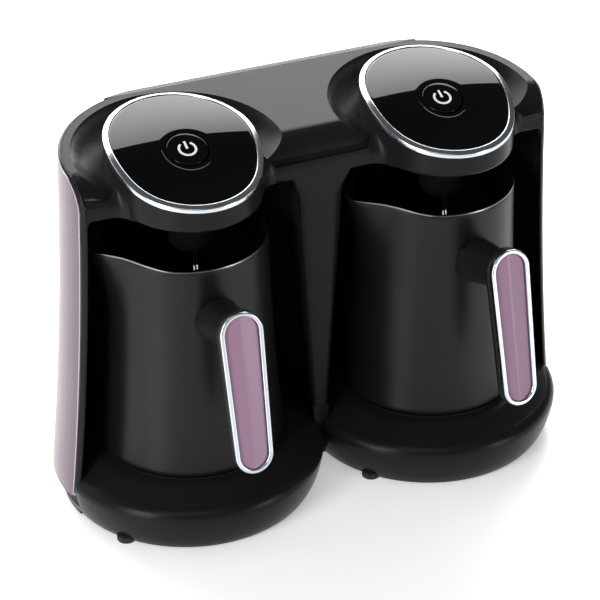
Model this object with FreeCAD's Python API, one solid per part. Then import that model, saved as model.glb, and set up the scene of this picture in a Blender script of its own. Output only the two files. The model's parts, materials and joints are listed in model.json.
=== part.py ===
import FreeCAD, Part
import math
import os

from FreeCAD import Vector

# Twin electric coffee maker: two pots on a figure-of-eight base, each under an overhanging oval head
# with a glossy panel and one push button. Millimetres, +X to the right, +Y to the rear, +Z up.
# It is modelled about the point midway between the two pots' axes, on the floor, and moved at the
# end so that the origin is the middle of the bounding box, on the floor.

# Layout
unit_pitch = 140.0
foot_height = 3.5
wall = 2.5
fit_gap = 0.15
slide_gap = 0.35
rest_gap = 0.1

# Housing: its ends are round in plan and flare down to the base
end_radius_top = 60.0
end_radius_middle = 63.6
end_radius_bottom = 72.5
end_middle_height = 111.0
end_top_height = 202.0
end_centre_y = 5.0
housing_bottom = 10.0
front_face_y = -13.5
top_front_height = 196.0
top_slope = 5.0
front_roll = 18.0
cover_thickness = 3.0

# Niche behind each pot, and the dish round each head
niche_radius_top = 55.0
niche_radius_bottom = 69.0
niche_ceiling = 175.5
niche_rear_y = 54.0
dish_radius = 54.0
dish_floor_radius = 40.0
dish_depth = 4.0

# Side panels, let into the housing's ends
panel_thickness = 2.2
panel_bottom = 13.0
panel_corner = 9.0
panel_bevel = 1.3

# Base
base_centre_y = 3.0
base_radius = 72.0
base_foot_radius = 66.0
base_shoulder_radius = 67.0
base_edge_height = 20.0
base_shoulder_height = 26.8
base_wall_bow = 1.2
base_shoulder_bend = (1.1, 2.6)
seat_radius = 52.0
seat_height = 33.5
plinth_inset = 5.0
plate_thickness = 2.0
foot_radius = 5.0
foot_places = ((-51.0, -37.0), (44.0, -30.0), (0.0, 50.0))

# Head
head_centre_y = -0.7
head_half_width = 38.7
head_half_length = 45.3
head_bottom = 175.0
deck_height = 197.7
deck_step = 13.0
deck_step_y = -14.0
deck_step_length = 18.35
deck_crown = 3.0
ring_width = 3.0
ring_height = 5.2
panel_drop = 0.6
glass_thickness = 2.5
ledge_width = 3.5
ledge_thickness = 2.5
head_post_radius = 3.0
head_post_places = ((-17.0, -22.0), (17.0, -22.0), (-17.0, 8.0), (17.0, 8.0))

# Button and its switch
button_y = -7.0
button_radius = 10.4
button_hole_gap = 0.4
button_thickness = 3.0
button_stem_radius = 2.6
button_travel = 0.8
button_free_gap = 0.15
dome_radius = 5.4
dome_wall = 0.8
dome_flange = 1.5
dome_free_gap = 0.05
board_height = 186.5
board_thickness = 1.6
board_width = 44.0
board_length = 34.0
switch_size = 6.2
switch_height = 3.4
lamp_radius = 1.5
lamp_x = 9.0
plug_width = 16.0
plug_length = 6.0
part_height = 4.5

# Sensor under the head
hood_y = -8.5
hood_radius = 11.5
hood_bottom = 146.8
hood_edge = 7.0
hood_wall = 1.6
guide_radius = 0.5
guide_spacing = 2.2
guide_drop = 4.4

# Pot
pot_bottom = 35.5
pot_bottom_radius = 49.4
pot_middle_height = 92.0
pot_middle_radius = 44.9
pot_top_radius = 42.4
pot_rim_height = 153.0
pot_wall = 1.6
pot_floor = 46.0
spout_reach = 55.2
spout_rise = 3.0
spout_spread = 16.0
spout_swell = 2.2
rim_rise_start = -17.0
rim_rise_end = -41.0
spout_root_height = 108.0
pot_base_radius = 47.4
pot_base_bottom = 34.5
pot_turns = {"left": 0.0, "right": 5.6}
heater_gap = 1.0
heater_thickness = 2.0
element_radius = 2.6
element_inset = 12.0

# Handle
handle_top_width = 22.5
handle_low_width = 19.8
handle_length = 84.7
handle_top_height = 145.0
handle_top_y = -72.5
handle_tilt = 13.0
handle_depth = 8.5
handle_edge = 2.5
frame_width = 2.3
frame_depth = 3.6
inlay_thickness = 2.4
inlay_drop = 0.5
inlay_ridge = 1.0
inlay_ridge_x = -1.0
boss_radius = 12.0
boss_height = 124.0
arm_end_radius = 9.5
arm_end_height = 131.0
handle_screw_radius = 2.0
handle_screw_head_radius = 4.0
handle_screw_head_height = 1.8

# Connector between base and pot
connector_radius = 19.0
connector_flange = 3.0
connector_depth = 12.0
connector_post_radius = 8.0
connector_post_height = 5.5
contact_ring_radius = 13.0
contact_radius = 1.0
contact_height = 2.2
seat_plate_inset = 3.0

# Electrics behind the middle of the housing
power_board_width = 48.0
power_board_height = 92.0
power_board_bottom = 62.0
power_board_stand = 6.0
board_screw_inset = 6.0
transformer_size = (28.0, 16.0, 24.0)
transformer_z = 14.0
relay_size = (14.0, 12.0, 18.0)
relay_z = 44.0
relay_x = 8.5
capacitor_radius = 5.0
capacitor_length = 14.0
capacitor_z = 72.0
terminal_size = (24.0, 9.0, 8.0)
terminal_z = 2.0
vent_width = 44.0
vent_height = 2.4
vent_pitch = 5.0
vent_count = 6
vent_z = 150.0
gland_radius = 6.0
gland_flange = 2.0
gland_bore = 3.6
gland_x = 40.0
gland_z = 26.0
gland_length = 8.0

# Fasteners
screw_radius = 1.5
screw_head_radius = 2.9
screw_head_height = 1.6
slot_width = 0.8
slot_length = 4.0
cover_screw_length = 7.5
plate_screw_length = 9.5
board_screw_length = 7.5
post_radius = 4.0
foot_edge = 0.8

# Cutting shapes overrun by this much, and tall ones end above everything
above = 60.0
over_top = 300.0

rear_face_y = end_centre_y + end_radius_top
cover_front_y = rear_face_y - cover_thickness
slope = math.radians(top_slope)
seat_top = pot_base_bottom - rest_gap
pot_recess_top = pot_floor - pot_wall
pot_base_outer = pot_base_radius - 1


def box(x0, x1, y0, y1, z0, z1):
    return Part.makeBox(x1 - x0, y1 - y0, z1 - z0, Vector(x0, y0, z0))


def cylinder(radius, z0, z1, x=0.0, y=0.0):
    return Part.makeCylinder(radius, z1 - z0, Vector(x, y, z0))


def cylinder_y(radius, y0, y1, x, z):
    return Part.makeCylinder(radius, y1 - y0, Vector(x, y0, z), Vector(0, 1, 0))


def tube(outer, inner, z0, z1, x=0.0, y=0.0):
    return cylinder(outer, z0, z1, x, y).cut(cylinder(inner, z0, z1, x, y))


def face_of(edges):
    return Part.Face(Part.Wire(Part.__sortEdges__(edges)))


def line(a, b):
    return Part.LineSegment(a, b).toShape()


def arc(a, b, c):
    return Part.Arc(a, b, c).toShape()


def polygon(points):
    return Part.Face(Part.makePolygon(points + [points[0]]))


def spin(points_and_arcs):
    """A solid of revolution about Z from a closed outline in the XZ plane."""
    return face_of(points_and_arcs).revolve(Vector(), Vector(0, 0, 1), 360)


def flared_radius(z, low, middle, high):
    """Radius at a height on the hollow curve through three (radius, height) points."""
    curve = Part.Circle(*[Vector(radius, 0, height) for radius, height in (low, middle, high)])
    return curve.Center.x - math.sqrt(curve.Radius ** 2 - (z - curve.Center.z) ** 2)


def moved(shape, x=0.0, y=0.0, z=0.0):
    copy = shape.copy()
    copy.translate(Vector(x, y, z))
    return copy


def turned(shape, degrees, axis, centre=None):
    copy = shape.copy()
    copy.rotate(centre or Vector(), axis, degrees)
    return copy


def at_units(shape):
    """The same shape on each unit's axis."""
    return [moved(shape, side * unit_pitch / 2) for side in (-1, 1)]


# Housing outline

def end_outline(inset, low, high, side):
    """Upright outline of a housing end on one side of its centre, in the YZ plane."""
    bottom = Vector(0, side * (end_radius_bottom - inset), housing_bottom)
    middle = Vector(0, side * (end_radius_middle - inset), end_middle_height)
    top = Vector(0, side * (end_radius_top - inset), end_top_height)
    low_point = Vector(0, bottom.y, low)
    high_point = Vector(0, top.y, high)
    edges = [arc(bottom, middle, top), line(top, high_point)]
    if low < housing_bottom:
        edges.append(line(low_point, bottom))
    return edges, (low_point if low < housing_bottom else bottom), high_point


def stadium(inset, low):
    """The housing's plan, round at both ends, from low up past the top."""
    high = end_top_height + above
    solids = []
    for side in (-1, 1):
        edges, bottom, top = end_outline(inset, low, high, -side)
        foot = Vector(0, 0, bottom.z)
        head = Vector(0, 0, high)
        half = face_of(edges + [line(bottom, foot), line(foot, head), line(head, top)])
        half = half.revolve(Vector(), Vector(0, 0, 1), 180)
        solids.append(moved(half, side * unit_pitch / 2, end_centre_y))
    front, front_bottom, front_top = end_outline(inset, low, high, -1)
    rear, rear_bottom, rear_top = end_outline(inset, low, high, 1)
    middle = face_of(front + rear + [line(front_bottom, rear_bottom), line(front_top, rear_top)])
    middle = moved(middle, -unit_pitch / 2, end_centre_y).extrude(Vector(unit_pitch, 0, 0))
    return middle.fuse(solids)


def roof_height(y):
    """Height of the sloping top face."""
    return top_front_height + math.tan(slope) * (y - front_face_y - front_roll)


def side_profile(inset, low):
    """Everything behind the front face, under the sloping top and in front of the rear face."""
    roll = front_roll - inset
    centre = Vector(0, front_face_y + front_roll, top_front_height - front_roll * math.cos(slope))
    front = Vector(0, front_face_y + inset, low)
    front_top = Vector(0, front.y, centre.z)
    turn = math.radians(45 - top_slope / 2)
    middle = centre + Vector(0, -roll * math.cos(turn), roll * math.sin(turn))
    roof_front = centre + Vector(0, -roll * math.sin(slope), roll * math.cos(slope))
    run = rear_face_y - inset - roof_front.y
    roof_rear = roof_front + Vector(0, run, run * math.tan(slope))
    rear = Vector(0, roof_rear.y, low)
    edges = [line(front, front_top), arc(front_top, middle, roof_front), line(roof_front, roof_rear)]
    edges += [line(roof_rear, rear), line(rear, front)]
    width = unit_pitch + 2 * end_radius_bottom + above
    return moved(face_of(edges), -width / 2).extrude(Vector(width, 0, 0))


def niche(inset, low):
    """The round space for a pot, about the pot's axis."""
    taper = (niche_radius_bottom - niche_radius_top) / (niche_ceiling - housing_bottom)
    low_radius = niche_radius_bottom + taper * (housing_bottom - low)
    height = niche_ceiling + inset - low
    high_radius = low_radius - taper * height
    cone = Part.makeCone(low_radius + inset, high_radius + inset, height, Vector(0, 0, low))
    return cone.common(box(-100, 100, -100, niche_rear_y + inset, low, low + height))


def dish(inset):
    """The shallow dish round a head, square to the sloping top."""
    sweep = ((dish_radius - dish_floor_radius) ** 2 + dish_depth ** 2) / (2 * dish_depth)
    centre = Vector(dish_floor_radius, 0, sweep - dish_depth)
    radius = sweep + inset
    reach = math.sqrt(radius ** 2 - centre.z ** 2)
    floor = Vector(dish_floor_radius, 0, centre.z - radius)
    half_turn = math.atan2(reach, centre.z) / 2
    middle = centre + Vector(radius * math.sin(half_turn), 0, -radius * math.cos(half_turn))
    edge = Vector(centre.x + reach, 0, 0)
    edge_top = edge + Vector(0, 0, above)
    axis_top = Vector(0, 0, above)
    axis_floor = Vector(0, 0, floor.z)
    shape = spin([arc(floor, middle, edge), line(edge, edge_top), line(edge_top, axis_top),
                  line(axis_top, axis_floor), line(axis_floor, floor)])
    shape = turned(shape, top_slope, Vector(1, 0, 0))
    return moved(shape, 0, end_centre_y, roof_height(end_centre_y))


def housing_block(inset, low):
    """The housing's outer form, or with an inset the hollow inside its walls."""
    block = stadium(inset, low).common(side_profile(inset, low))
    cuts = at_units(niche(inset, low - 1)) + at_units(dish(inset))
    return block.cut(cuts)


# Head outline

def oval_wire(inset, z):
    ellipse = Part.Ellipse(Vector(0, 0, 0), head_half_length - inset, head_half_width - inset)
    wire = Part.Wire([ellipse.toShape()])
    wire.rotate(Vector(), Vector(0, 0, 1), 90)
    wire.translate(Vector(0, head_centre_y, z))
    return wire


def oval_prism(inset, z0, z1):
    return Part.Face(oval_wire(inset, z0)).extrude(Vector(0, 0, z1 - z0))


def deck(x, y, crown):
    """Height of a head's top: two gentle slopes joined by a soft step, crowned in the middle."""
    v = y - head_centre_y
    step = deck_step / 2 * math.tanh((v - deck_step_y) / deck_step_length)
    round_part = 1 - (x / head_half_width) ** 2 - (v / head_half_length) ** 2
    return deck_height + math.tan(slope) * v + step + crown * round_part


def deck_slab(crown, drop, thickness):
    """A slab whose top lies drop below a head's top, larger than the head all round."""
    columns = 9
    rows = 25
    half_x = head_half_width + 4
    half_y = head_half_length + 4
    grid = []
    for i in range(columns):
        x = -half_x + 2 * half_x * i / (columns - 1)
        row = []
        for j in range(rows):
            y = head_centre_y - half_y + 2 * half_y * j / (rows - 1)
            row.append(Vector(x, y, deck(x, y, crown) - drop))
        grid.append(row)
    surface = Part.BSplineSurface()
    surface.interpolate(grid)
    return surface.toShape().extrude(Vector(0, 0, -thickness))


# Shared pieces

def cover_screw_places():
    """Below in the ends of the housing, and twice behind each pot's niche."""
    one_side = ((unit_pitch / 2 + 25, 24.0), (unit_pitch / 2, 95.0), (unit_pitch / 2, 165.0))
    return [(side * x, z) for side in (-1, 1) for x, z in one_side]


def front_shell():
    shell = housing_block(0, housing_bottom).cut(housing_block(wall, housing_bottom - 5))
    width = unit_pitch + 2 * end_radius_bottom
    shell = shell.cut(box(-width, width, cover_front_y, rear_face_y + above, 0, over_top))
    shell = shell.cut(panel_recesses())
    # Behind each panel the wall is carried inward by the panel's thickness
    backing = stadium(panel_thickness, housing_bottom).cut(stadium(panel_thickness + wall, 0))
    backing = backing.common(side_profile(0, housing_bottom)).cut(at_units(niche(0, 0)))
    backing = backing.cut(at_units(dish(0)))
    ends = [end_box(side, front_face_y, cover_front_y, housing_bottom) for side in (-1, 1)]
    shell = shell.fuse(backing.common(ends[0].fuse(ends[1])))
    post_start = niche_rear_y + wall / 2
    shell = shell.fuse([cylinder_y(post_radius, post_start, cover_front_y, x, z)
                        for x, z in cover_screw_places()])
    shell = shell.cut([cylinder_y(screw_radius, niche_rear_y + wall, cover_front_y, x, z)
                       for x, z in cover_screw_places()])
    shell = shell.cut(at_units(oval_prism(-fit_gap, niche_ceiling - wall, over_top)))
    return shell.removeSplitter()


def end_box(side, y0, y1, low):
    near = unit_pitch / 2
    far = unit_pitch
    x0, x1 = (near, far + above) if side > 0 else (-far - above, -near)
    return box(x0, x1, y0, y1, low, over_top)


def panel_zone(side, gap):
    """The layer of a housing end that a side panel fills, with a round lower front corner."""
    skin = stadium(0, housing_bottom).cut(stadium(panel_thickness - gap, 0))
    low = panel_bottom + gap
    front = front_face_y - 1
    rear = cover_front_y - gap
    corner = Vector(0, front_face_y + panel_corner, low + panel_corner)
    bend = corner + Vector(0, -panel_corner, -panel_corner) / math.sqrt(2)
    start = Vector(0, front_face_y, corner.z)
    end = Vector(0, corner.y, low)
    rear_low = Vector(0, rear, low)
    rear_top = Vector(0, rear, over_top)
    front_top = Vector(0, front, over_top)
    front_low = Vector(0, front, corner.z)
    outline = [arc(start, bend, end), line(end, rear_low), line(rear_low, rear_top),
               line(rear_top, front_top), line(front_top, front_low), line(front_low, start)]
    reach = side * (unit_pitch + above)
    return skin.common(moved(face_of(outline), side * unit_pitch / 2).extrude(Vector(reach, 0, 0)))


def panel_recesses():
    """The layers cut from the housing's ends for the panels, run down to the lower edge."""
    skin = stadium(0, housing_bottom).cut(stadium(panel_thickness, 0))
    low = [end_box(side, front_face_y, cover_front_y, housing_bottom) for side in (-1, 1)]
    low = [part.common(box(-over_top, over_top, -over_top, over_top, 0, panel_bottom + panel_corner))
           for part in low]
    return [panel_zone(side, 0) for side in (-1, 1)] + [skin.common(part) for part in low]


def side_panel(side):
    """One lilac panel, bevelled along its front and top edges."""
    panel = panel_zone(side, fit_gap).common(side_profile(0, housing_bottom))
    rims = [edge for edge in panel.Edges if on_outer_rim(edge, side)]
    return panel.makeChamfer(panel_bevel, rims)


def on_outer_rim(edge, side):
    """True for the edges where a panel's outer face meets its front, its top or its round corner."""
    points = edge.discretize(5)
    centre_x = side * unit_pitch / 2
    for point in points:
        radius = math.hypot(point.x - centre_x, point.y - end_centre_y)
        if radius < end_radius(point.z) - fit_gap:
            return False
    middle = points[2]
    if middle.y > cover_front_y - 1:
        return False
    on_front = middle.z > panel_bottom + 1 and middle.y < front_face_y + panel_corner
    return on_front or middle.z > top_front_height - front_roll


def end_radius(z):
    """Radius of a housing end at a height."""
    if z >= end_top_height:
        return end_radius_top
    return flared_radius(z, (end_radius_bottom, housing_bottom), (end_radius_middle, end_middle_height),
                         (end_radius_top, end_top_height))


def rear_cover():
    width = unit_pitch + 2 * end_radius_bottom
    plate = stadium(0, housing_bottom).common(side_profile(0, housing_bottom))
    plate = plate.common(box(-width, width, cover_front_y, rear_face_y, 0, over_top))
    for x, z in cover_screw_places():
        plate = plate.cut(cylinder_y(screw_radius + fit_gap, cover_front_y, rear_face_y, x, z))
        plate = plate.cut(cylinder_y(screw_head_radius + fit_gap, rear_face_y - screw_head_height,
                                     rear_face_y, x, z))
    plate = plate.cut(cylinder_y(gland_radius, cover_front_y, rear_face_y, gland_x, gland_z))
    for x, z in board_screw_places():
        post = cylinder_y(post_radius, cover_front_y - power_board_stand, cover_front_y, x, z)
        plate = plate.fuse(post)
        plate = plate.cut(cylinder_y(screw_radius, cover_front_y - power_board_stand,
                                     cover_front_y + 1, x, z))
    vent = box(-vent_width / 2, vent_width / 2, cover_front_y, rear_face_y, vent_z, vent_z + vent_height)
    for row in range(vent_count):
        plate = plate.cut(moved(vent, 0, 0, vent_pitch * row))
    return plate.removeSplitter()


def screw_y(x, z, y_head, length):
    """A screw driven forward, its head's top at y_head."""
    head = cylinder_y(screw_head_radius, y_head - screw_head_height, y_head, x, z)
    slot = box(x - slot_width / 2, x + slot_width / 2, y_head - slot_width, y_head,
               z - slot_length / 2, z + slot_length / 2)
    return head.fuse(cylinder_y(screw_radius, y_head - length, y_head, x, z)).cut(slot)


def screw_up(x, y, z_head, length):
    """A screw driven upward, its head's bottom at z_head."""
    head = cylinder(screw_head_radius, z_head, z_head + screw_head_height, x, y)
    slot = box(x - slot_width / 2, x + slot_width / 2, y - slot_length / 2, y + slot_length / 2,
               z_head, z_head + slot_width)
    return head.fuse(cylinder(screw_radius, z_head, z_head + length, x, y)).cut(slot)


def group(solids):
    return Part.makeCompound(solids)


def cover_screws():
    return group([screw_y(x, z, rear_face_y, cover_screw_length) for x, z in cover_screw_places()])


def disc_outline(inset, low):
    """Outline of a round base: a tapered wall, a soft shoulder and a rise to the seat."""
    foot = Vector(base_foot_radius - inset, 0, low)
    edge = Vector(base_radius - inset, 0, base_edge_height)
    wall_middle = Vector((foot.x + edge.x) / 2 + base_wall_bow, 0, (low + base_edge_height) / 2)
    shoulder = Vector(base_shoulder_radius - inset, 0, base_shoulder_height - inset)
    bend = Vector(edge.x - base_shoulder_bend[0], 0, shoulder.z - base_shoulder_bend[1])
    seat = Vector(seat_radius - inset, 0, seat_height - inset)
    axis_top = Vector(0, 0, seat.z)
    axis_low = Vector(0, 0, low)
    return [arc(foot, wall_middle, edge), arc(edge, bend, shoulder), line(shoulder, seat),
            line(seat, axis_top), line(axis_top, axis_low), line(axis_low, foot)]


def tray_block(inset):
    """The base's form, or with an inset its inside: two discs and the plinth under the housing."""
    low = foot_height
    discs = at_units(moved(spin(disc_outline(inset, low)), 0, base_centre_y))
    both = discs[0].fuse(discs[1])
    width = unit_pitch + 2 * base_radius
    behind = box(-width, width, front_face_y - fit_gap - inset, over_top, housing_bottom - inset, over_top)
    behind = behind.cut(at_units(niche(-fit_gap - inset, housing_bottom - 5)))
    beyond = box(-width, width, rear_face_y - plinth_inset - inset, over_top, 0, over_top)
    both = both.cut(behind.fuse(beyond))
    height = housing_bottom - inset - low
    slab = plinth_slab(plinth_inset + inset, low, height)
    return both.fuse(slab)


def plinth_slab(inset, low, height):
    """A flat slab in the housing's plan, behind its front face."""
    radius = end_radius_bottom - inset
    rear = rear_face_y - inset
    slab = box(-unit_pitch / 2, unit_pitch / 2, front_face_y + inset, rear, low, low + height)
    keep = box(-unit_pitch * 2, unit_pitch * 2, front_face_y + inset, rear, low, low + height)
    ends = [cylinder(radius, low, low + height, side * unit_pitch / 2, end_centre_y).common(keep)
            for side in (-1, 1)]
    return slab.fuse(ends)


def tray_post_places():
    return [(side * unit_pitch / 2 + x, y) for side in (-1, 1)
            for x, y in ((0.0, -46.0), (-36.0, 26.0), (36.0, 26.0))]


def base_tray():
    tray = tray_block(0).cut(tray_block(wall))
    for x, y in tray_post_places():
        roof = seat_height - wall
        tray = tray.fuse(cylinder(post_radius, foot_height + plate_thickness, roof + 1, x, y))
        tray = tray.cut(cylinder(screw_radius, foot_height, foot_height + plate_screw_length + 0.5, x, y))
    hole = cylinder(connector_radius + fit_gap, seat_height - wall * 2, seat_height + wall)
    return tray.cut(at_units(hole)).removeSplitter()


def bottom_plate():
    plate = tray_block(wall + fit_gap)
    width = unit_pitch * 2
    plate = plate.common(box(-width, width, -width, width, foot_height, foot_height + plate_thickness))
    for x, y in tray_post_places():
        plate = plate.cut(cylinder(screw_head_radius + fit_gap, foot_height,
                                   foot_height + screw_head_height, x, y))
        plate = plate.cut(cylinder(screw_radius + fit_gap, foot_height,
                                   foot_height + plate_thickness, x, y))
    return plate.removeSplitter()


def plate_screws():
    return group([screw_up(x, y, foot_height, plate_screw_length) for x, y in tray_post_places()])


def rubber_feet():
    feet = []
    for side in (-1, 1):
        for x, y in foot_places:
            foot = cylinder(foot_radius, 0, foot_height, side * unit_pitch / 2 + x, y)
            feet.append(foot.makeFillet(foot_edge, [foot.Edges[2]]))
    return group(feet)


def cord_gland():
    """A flanged bushing in the rear cover where the mains cord would enter."""
    body = cylinder_y(gland_radius - fit_gap, rear_face_y - gland_length, rear_face_y, gland_x, gland_z)
    flange = cylinder_y(gland_radius + gland_flange, cover_front_y - gland_flange, cover_front_y,
                        gland_x, gland_z)
    bore = cylinder_y(gland_bore, rear_face_y - gland_length, rear_face_y, gland_x, gland_z)
    return body.fuse(flange).cut(bore)


def board_screw_places():
    x = power_board_width / 2 - board_screw_inset
    heights = (board_screw_inset, power_board_height - board_screw_inset)
    return [(side * x, power_board_bottom + z) for side in (-1, 1) for z in heights]


def power_board():
    y1 = cover_front_y - power_board_stand
    half = power_board_width / 2
    board = box(-half, half, y1 - board_thickness, y1, power_board_bottom,
                power_board_bottom + power_board_height)
    return board.cut([cylinder_y(screw_radius + fit_gap, y1 - board_thickness, y1, x, z)
                      for x, z in board_screw_places()])


def board_parts():
    """Transformer, two relays, capacitor and terminal block standing on the power board."""
    y1 = cover_front_y - power_board_stand - board_thickness

    def block(size, x, z):
        width, depth, height = size
        low = power_board_bottom + z
        return box(x - width / 2, x + width / 2, y1 - depth, y1, low, low + height)

    capacitor = cylinder_y(capacitor_radius, y1 - capacitor_length, y1, 0, power_board_bottom + capacitor_z)
    return group([block(transformer_size, 0, transformer_z), block(relay_size, -relay_x, relay_z),
                  block(relay_size, relay_x, relay_z), capacitor, block(terminal_size, 0, terminal_z)])


def board_screws():
    y_head = cover_front_y - power_board_stand - board_thickness - screw_head_height
    screws = []
    for x, z in board_screw_places():
        screw = screw_y(x, z, 0, board_screw_length)
        screw.rotate(Vector(x, 0, z), Vector(0, 0, 1), 180)
        screws.append(moved(screw, 0, y_head))
    return group(screws)


# Head pieces, about a unit's axis

def head_shell():
    ring_seat = deck_slab(0, ring_height, above)
    outer = oval_prism(0, head_bottom, over_top).common(ring_seat)
    shell = outer.cut(oval_prism(wall, head_bottom - 1, over_top))
    # Ledge inside the ring that carries the panel
    ledge_inset = ring_width + fit_gap
    middle = oval_prism(ledge_inset + ledge_width, 0, over_top)
    ledge_low = oval_prism(wall - fit_gap, head_bottom, over_top).cut(middle)
    ledge_low = ledge_low.common(deck_slab(0, ring_height, ledge_thickness))
    ledge = oval_prism(ledge_inset, head_bottom, over_top).cut(middle)
    ledge = ledge.common(deck_slab(deck_crown, panel_drop + glass_thickness + dome_free_gap, ring_height))
    return shell.fuse(ledge_low).fuse(ledge).removeSplitter()


def head_ring():
    """The bright ring that edges a head's top."""
    ring = oval_prism(0, head_bottom, over_top).cut(oval_prism(ring_width, head_bottom, over_top))
    return ring.common(deck_slab(0, 0, ring_height - dome_free_gap))


def head_glass():
    """The glossy panel with a round hole for the button."""
    glass = oval_prism(ring_width + fit_gap, head_bottom, over_top)
    glass = glass.common(deck_slab(deck_crown, panel_drop, glass_thickness))
    return glass.cut(cylinder(button_radius + button_hole_gap, head_bottom, over_top, 0, button_y))


def button_deck():
    return deck(0, button_y, deck_crown) - panel_drop


def power_button():
    """The push button: a crowned cap with a stem that reaches down to the switch."""
    cap = cylinder(button_radius, head_bottom, over_top, 0, button_y)
    cap = cap.common(deck_slab(deck_crown, panel_drop, button_thickness))
    stem_foot = board_height + board_thickness + switch_height + button_travel + button_free_gap
    stem = cylinder(button_stem_radius, stem_foot, button_deck() - button_thickness + 1, 0, button_y)
    return cap.fuse(stem)


def dome_top():
    """Just under the lowest point of the underside of the button's cap."""
    front = deck(0, button_y - dome_radius, deck_crown) - panel_drop - button_thickness
    return front - dome_free_gap


def button_dome():
    low = board_height + board_thickness
    dome = tube(dome_radius, dome_radius - dome_wall, low, dome_top(), 0, button_y)
    flange = tube(dome_radius + dome_flange, dome_radius - dome_wall, low, low + dome_wall, 0, button_y)
    return dome.fuse(flange)


def head_cover():
    """The flat underside of a head, with posts for its board and a hole for the sensor."""
    cover = oval_prism(wall + fit_gap, head_bottom, head_bottom + wall)
    cover = cover.cut(cylinder(hood_radius - hood_wall, 0, over_top, 0, hood_y))
    for x, y in head_post_places:
        cover = cover.fuse(cylinder(head_post_radius, head_bottom + 1, board_height, x, y))
    return cover.removeSplitter()


def switch_board():
    """A head's board with its switch, a lamp and a plug."""
    half = board_width / 2
    board = box(-half, half, button_y - board_length / 2, button_y + board_length / 2,
                board_height, board_height + board_thickness)
    top = board_height + board_thickness
    s = switch_size / 2
    switch = box(-s, s, button_y - s, button_y + s, top, top + switch_height)
    lamp = cylinder(lamp_radius, top, top + part_height, lamp_x, button_y)
    rear = button_y + board_length / 2 - 1
    plug = box(-plug_width / 2, plug_width / 2, rear - plug_length, rear, top, top + part_height)
    return group([board, switch, lamp, plug])


def hood_form(inset):
    """The sensor barrel's form, with a large round lower edge."""
    form = cylinder(hood_radius - inset, hood_bottom + inset, head_bottom, 0, hood_y)
    low = [edge for edge in form.Edges if edge.BoundBox.ZMax < hood_bottom + inset + 0.01]
    return form.makeFillet(hood_edge - inset, low)


def sensor_hood():
    """A round barrel hanging from the head into the pot's mouth, hollow above its floor."""
    return hood_form(0).cut(hood_form(hood_wall)).cut(guide_bars())


def guide_bars():
    y = hood_y - hood_radius + hood_edge - 1
    low = hood_bottom - guide_drop
    return [cylinder(guide_radius, low, hood_bottom + hood_wall + 1, x, y)
            for x in (-guide_spacing / 2, guide_spacing / 2)]


def sensor_guides():
    """Two small light guides through the front of the sensor's floor."""
    return group(guide_bars())


# Base pieces, about a unit's axis

def seat_plate():
    """The raised ring that a pot stands on."""
    return tube(seat_radius - seat_plate_inset, connector_radius + 1, seat_height, seat_top)


def base_connector():
    low = seat_height - connector_flange
    flange = cylinder(connector_radius, low, seat_top)
    body = cylinder(connector_radius - connector_flange, seat_height - connector_depth, low)
    post = cylinder(connector_post_radius, seat_height, pot_base_bottom + connector_post_height)
    return flange.fuse(body).fuse(post)


def base_contacts():
    """Three sprung contacts round the connector's post."""
    pins = []
    for i in range(3):
        turn = math.radians(90 + 120 * i)
        x = contact_ring_radius * math.cos(turn)
        y = contact_ring_radius * math.sin(turn)
        pins.append(cylinder(contact_radius, seat_top, seat_top + contact_height, x, y))
    return group(pins)


# Pot pieces, about a unit's axis

def pot_radius(z):
    """Radius of the pot's round wall at a height."""
    return flared_radius(z, (pot_bottom_radius, pot_bottom), (pot_middle_radius, pot_middle_height),
                         (pot_top_radius, pot_rim_height))


def pot_section(inset, z):
    """Level outline of the wall: a circle, pushed out at the left into the spout near the rim."""
    rise = max(0.0, (z - spout_root_height) / (pot_rim_height + spout_rise - spout_root_height))
    bulge = (spout_reach - pot_top_radius) * rise ** spout_swell
    points = []
    count = 48
    for i in range(count):
        turn = -180 + 360 * i / count
        away = 180 - abs(turn)
        radius = pot_radius(z) - inset + bulge * math.exp(-(away / spout_spread) ** 2)
        angle = math.radians(turn)
        points.append(Vector(radius * math.cos(angle), radius * math.sin(angle), z))
    curve = Part.BSplineCurve()
    curve.interpolate(points, PeriodicFlag=True)
    return Part.Wire([curve.toShape()])


def pot_form(inset, low):
    """The pot's form up past the rim, or with an inset the hollow inside its wall."""
    high = pot_rim_height + 8
    heights = [low + (spout_root_height - low) * i / 4 for i in range(4)]
    heights += [spout_root_height + (high - spout_root_height) * i / 6 for i in range(7)]
    return Part.makeLoft([pot_section(inset, z) for z in heights], True)


def above_rim():
    """All that lies over the rim, which lifts in a soft step towards the spout."""
    half_run = (rim_rise_start - rim_rise_end) / 2
    half_rise = spout_rise / 2
    sweep = (half_run ** 2 + half_rise ** 2) / (2 * half_rise)
    turn = math.asin(half_run / sweep) / 2
    across = sweep * math.sin(turn)
    up = sweep * (1 - math.cos(turn))
    start = Vector(rim_rise_start, 0, pot_rim_height)
    middle = start + Vector(-half_run, 0, half_rise)
    end = middle + Vector(-half_run, 0, half_rise)
    low_bend = start + Vector(-across, 0, up)
    high_bend = end + Vector(across, 0, -up)
    left = Vector(-spout_reach - above, 0, end.z)
    left_top = Vector(left.x, 0, pot_rim_height + above)
    right_top = Vector(above, 0, left_top.z)
    right = Vector(above, 0, pot_rim_height)
    face = face_of([arc(start, low_bend, middle), arc(middle, high_bend, end), line(end, left),
                    line(left, left_top), line(left_top, right_top), line(right_top, right),
                    line(right, start)])
    return moved(face, 0, -above).extrude(Vector(0, 2 * above, 0))


def pot_body():
    body = pot_form(0, pot_bottom).cut(pot_form(pot_wall, pot_floor)).cut(above_rim())
    body = body.cut(cylinder(pot_base_outer + fit_gap, pot_bottom - 1, pot_recess_top))
    body = body.cut(handle_screw_shank(handle_screw_radius + fit_gap))
    return body.removeSplitter()


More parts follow.
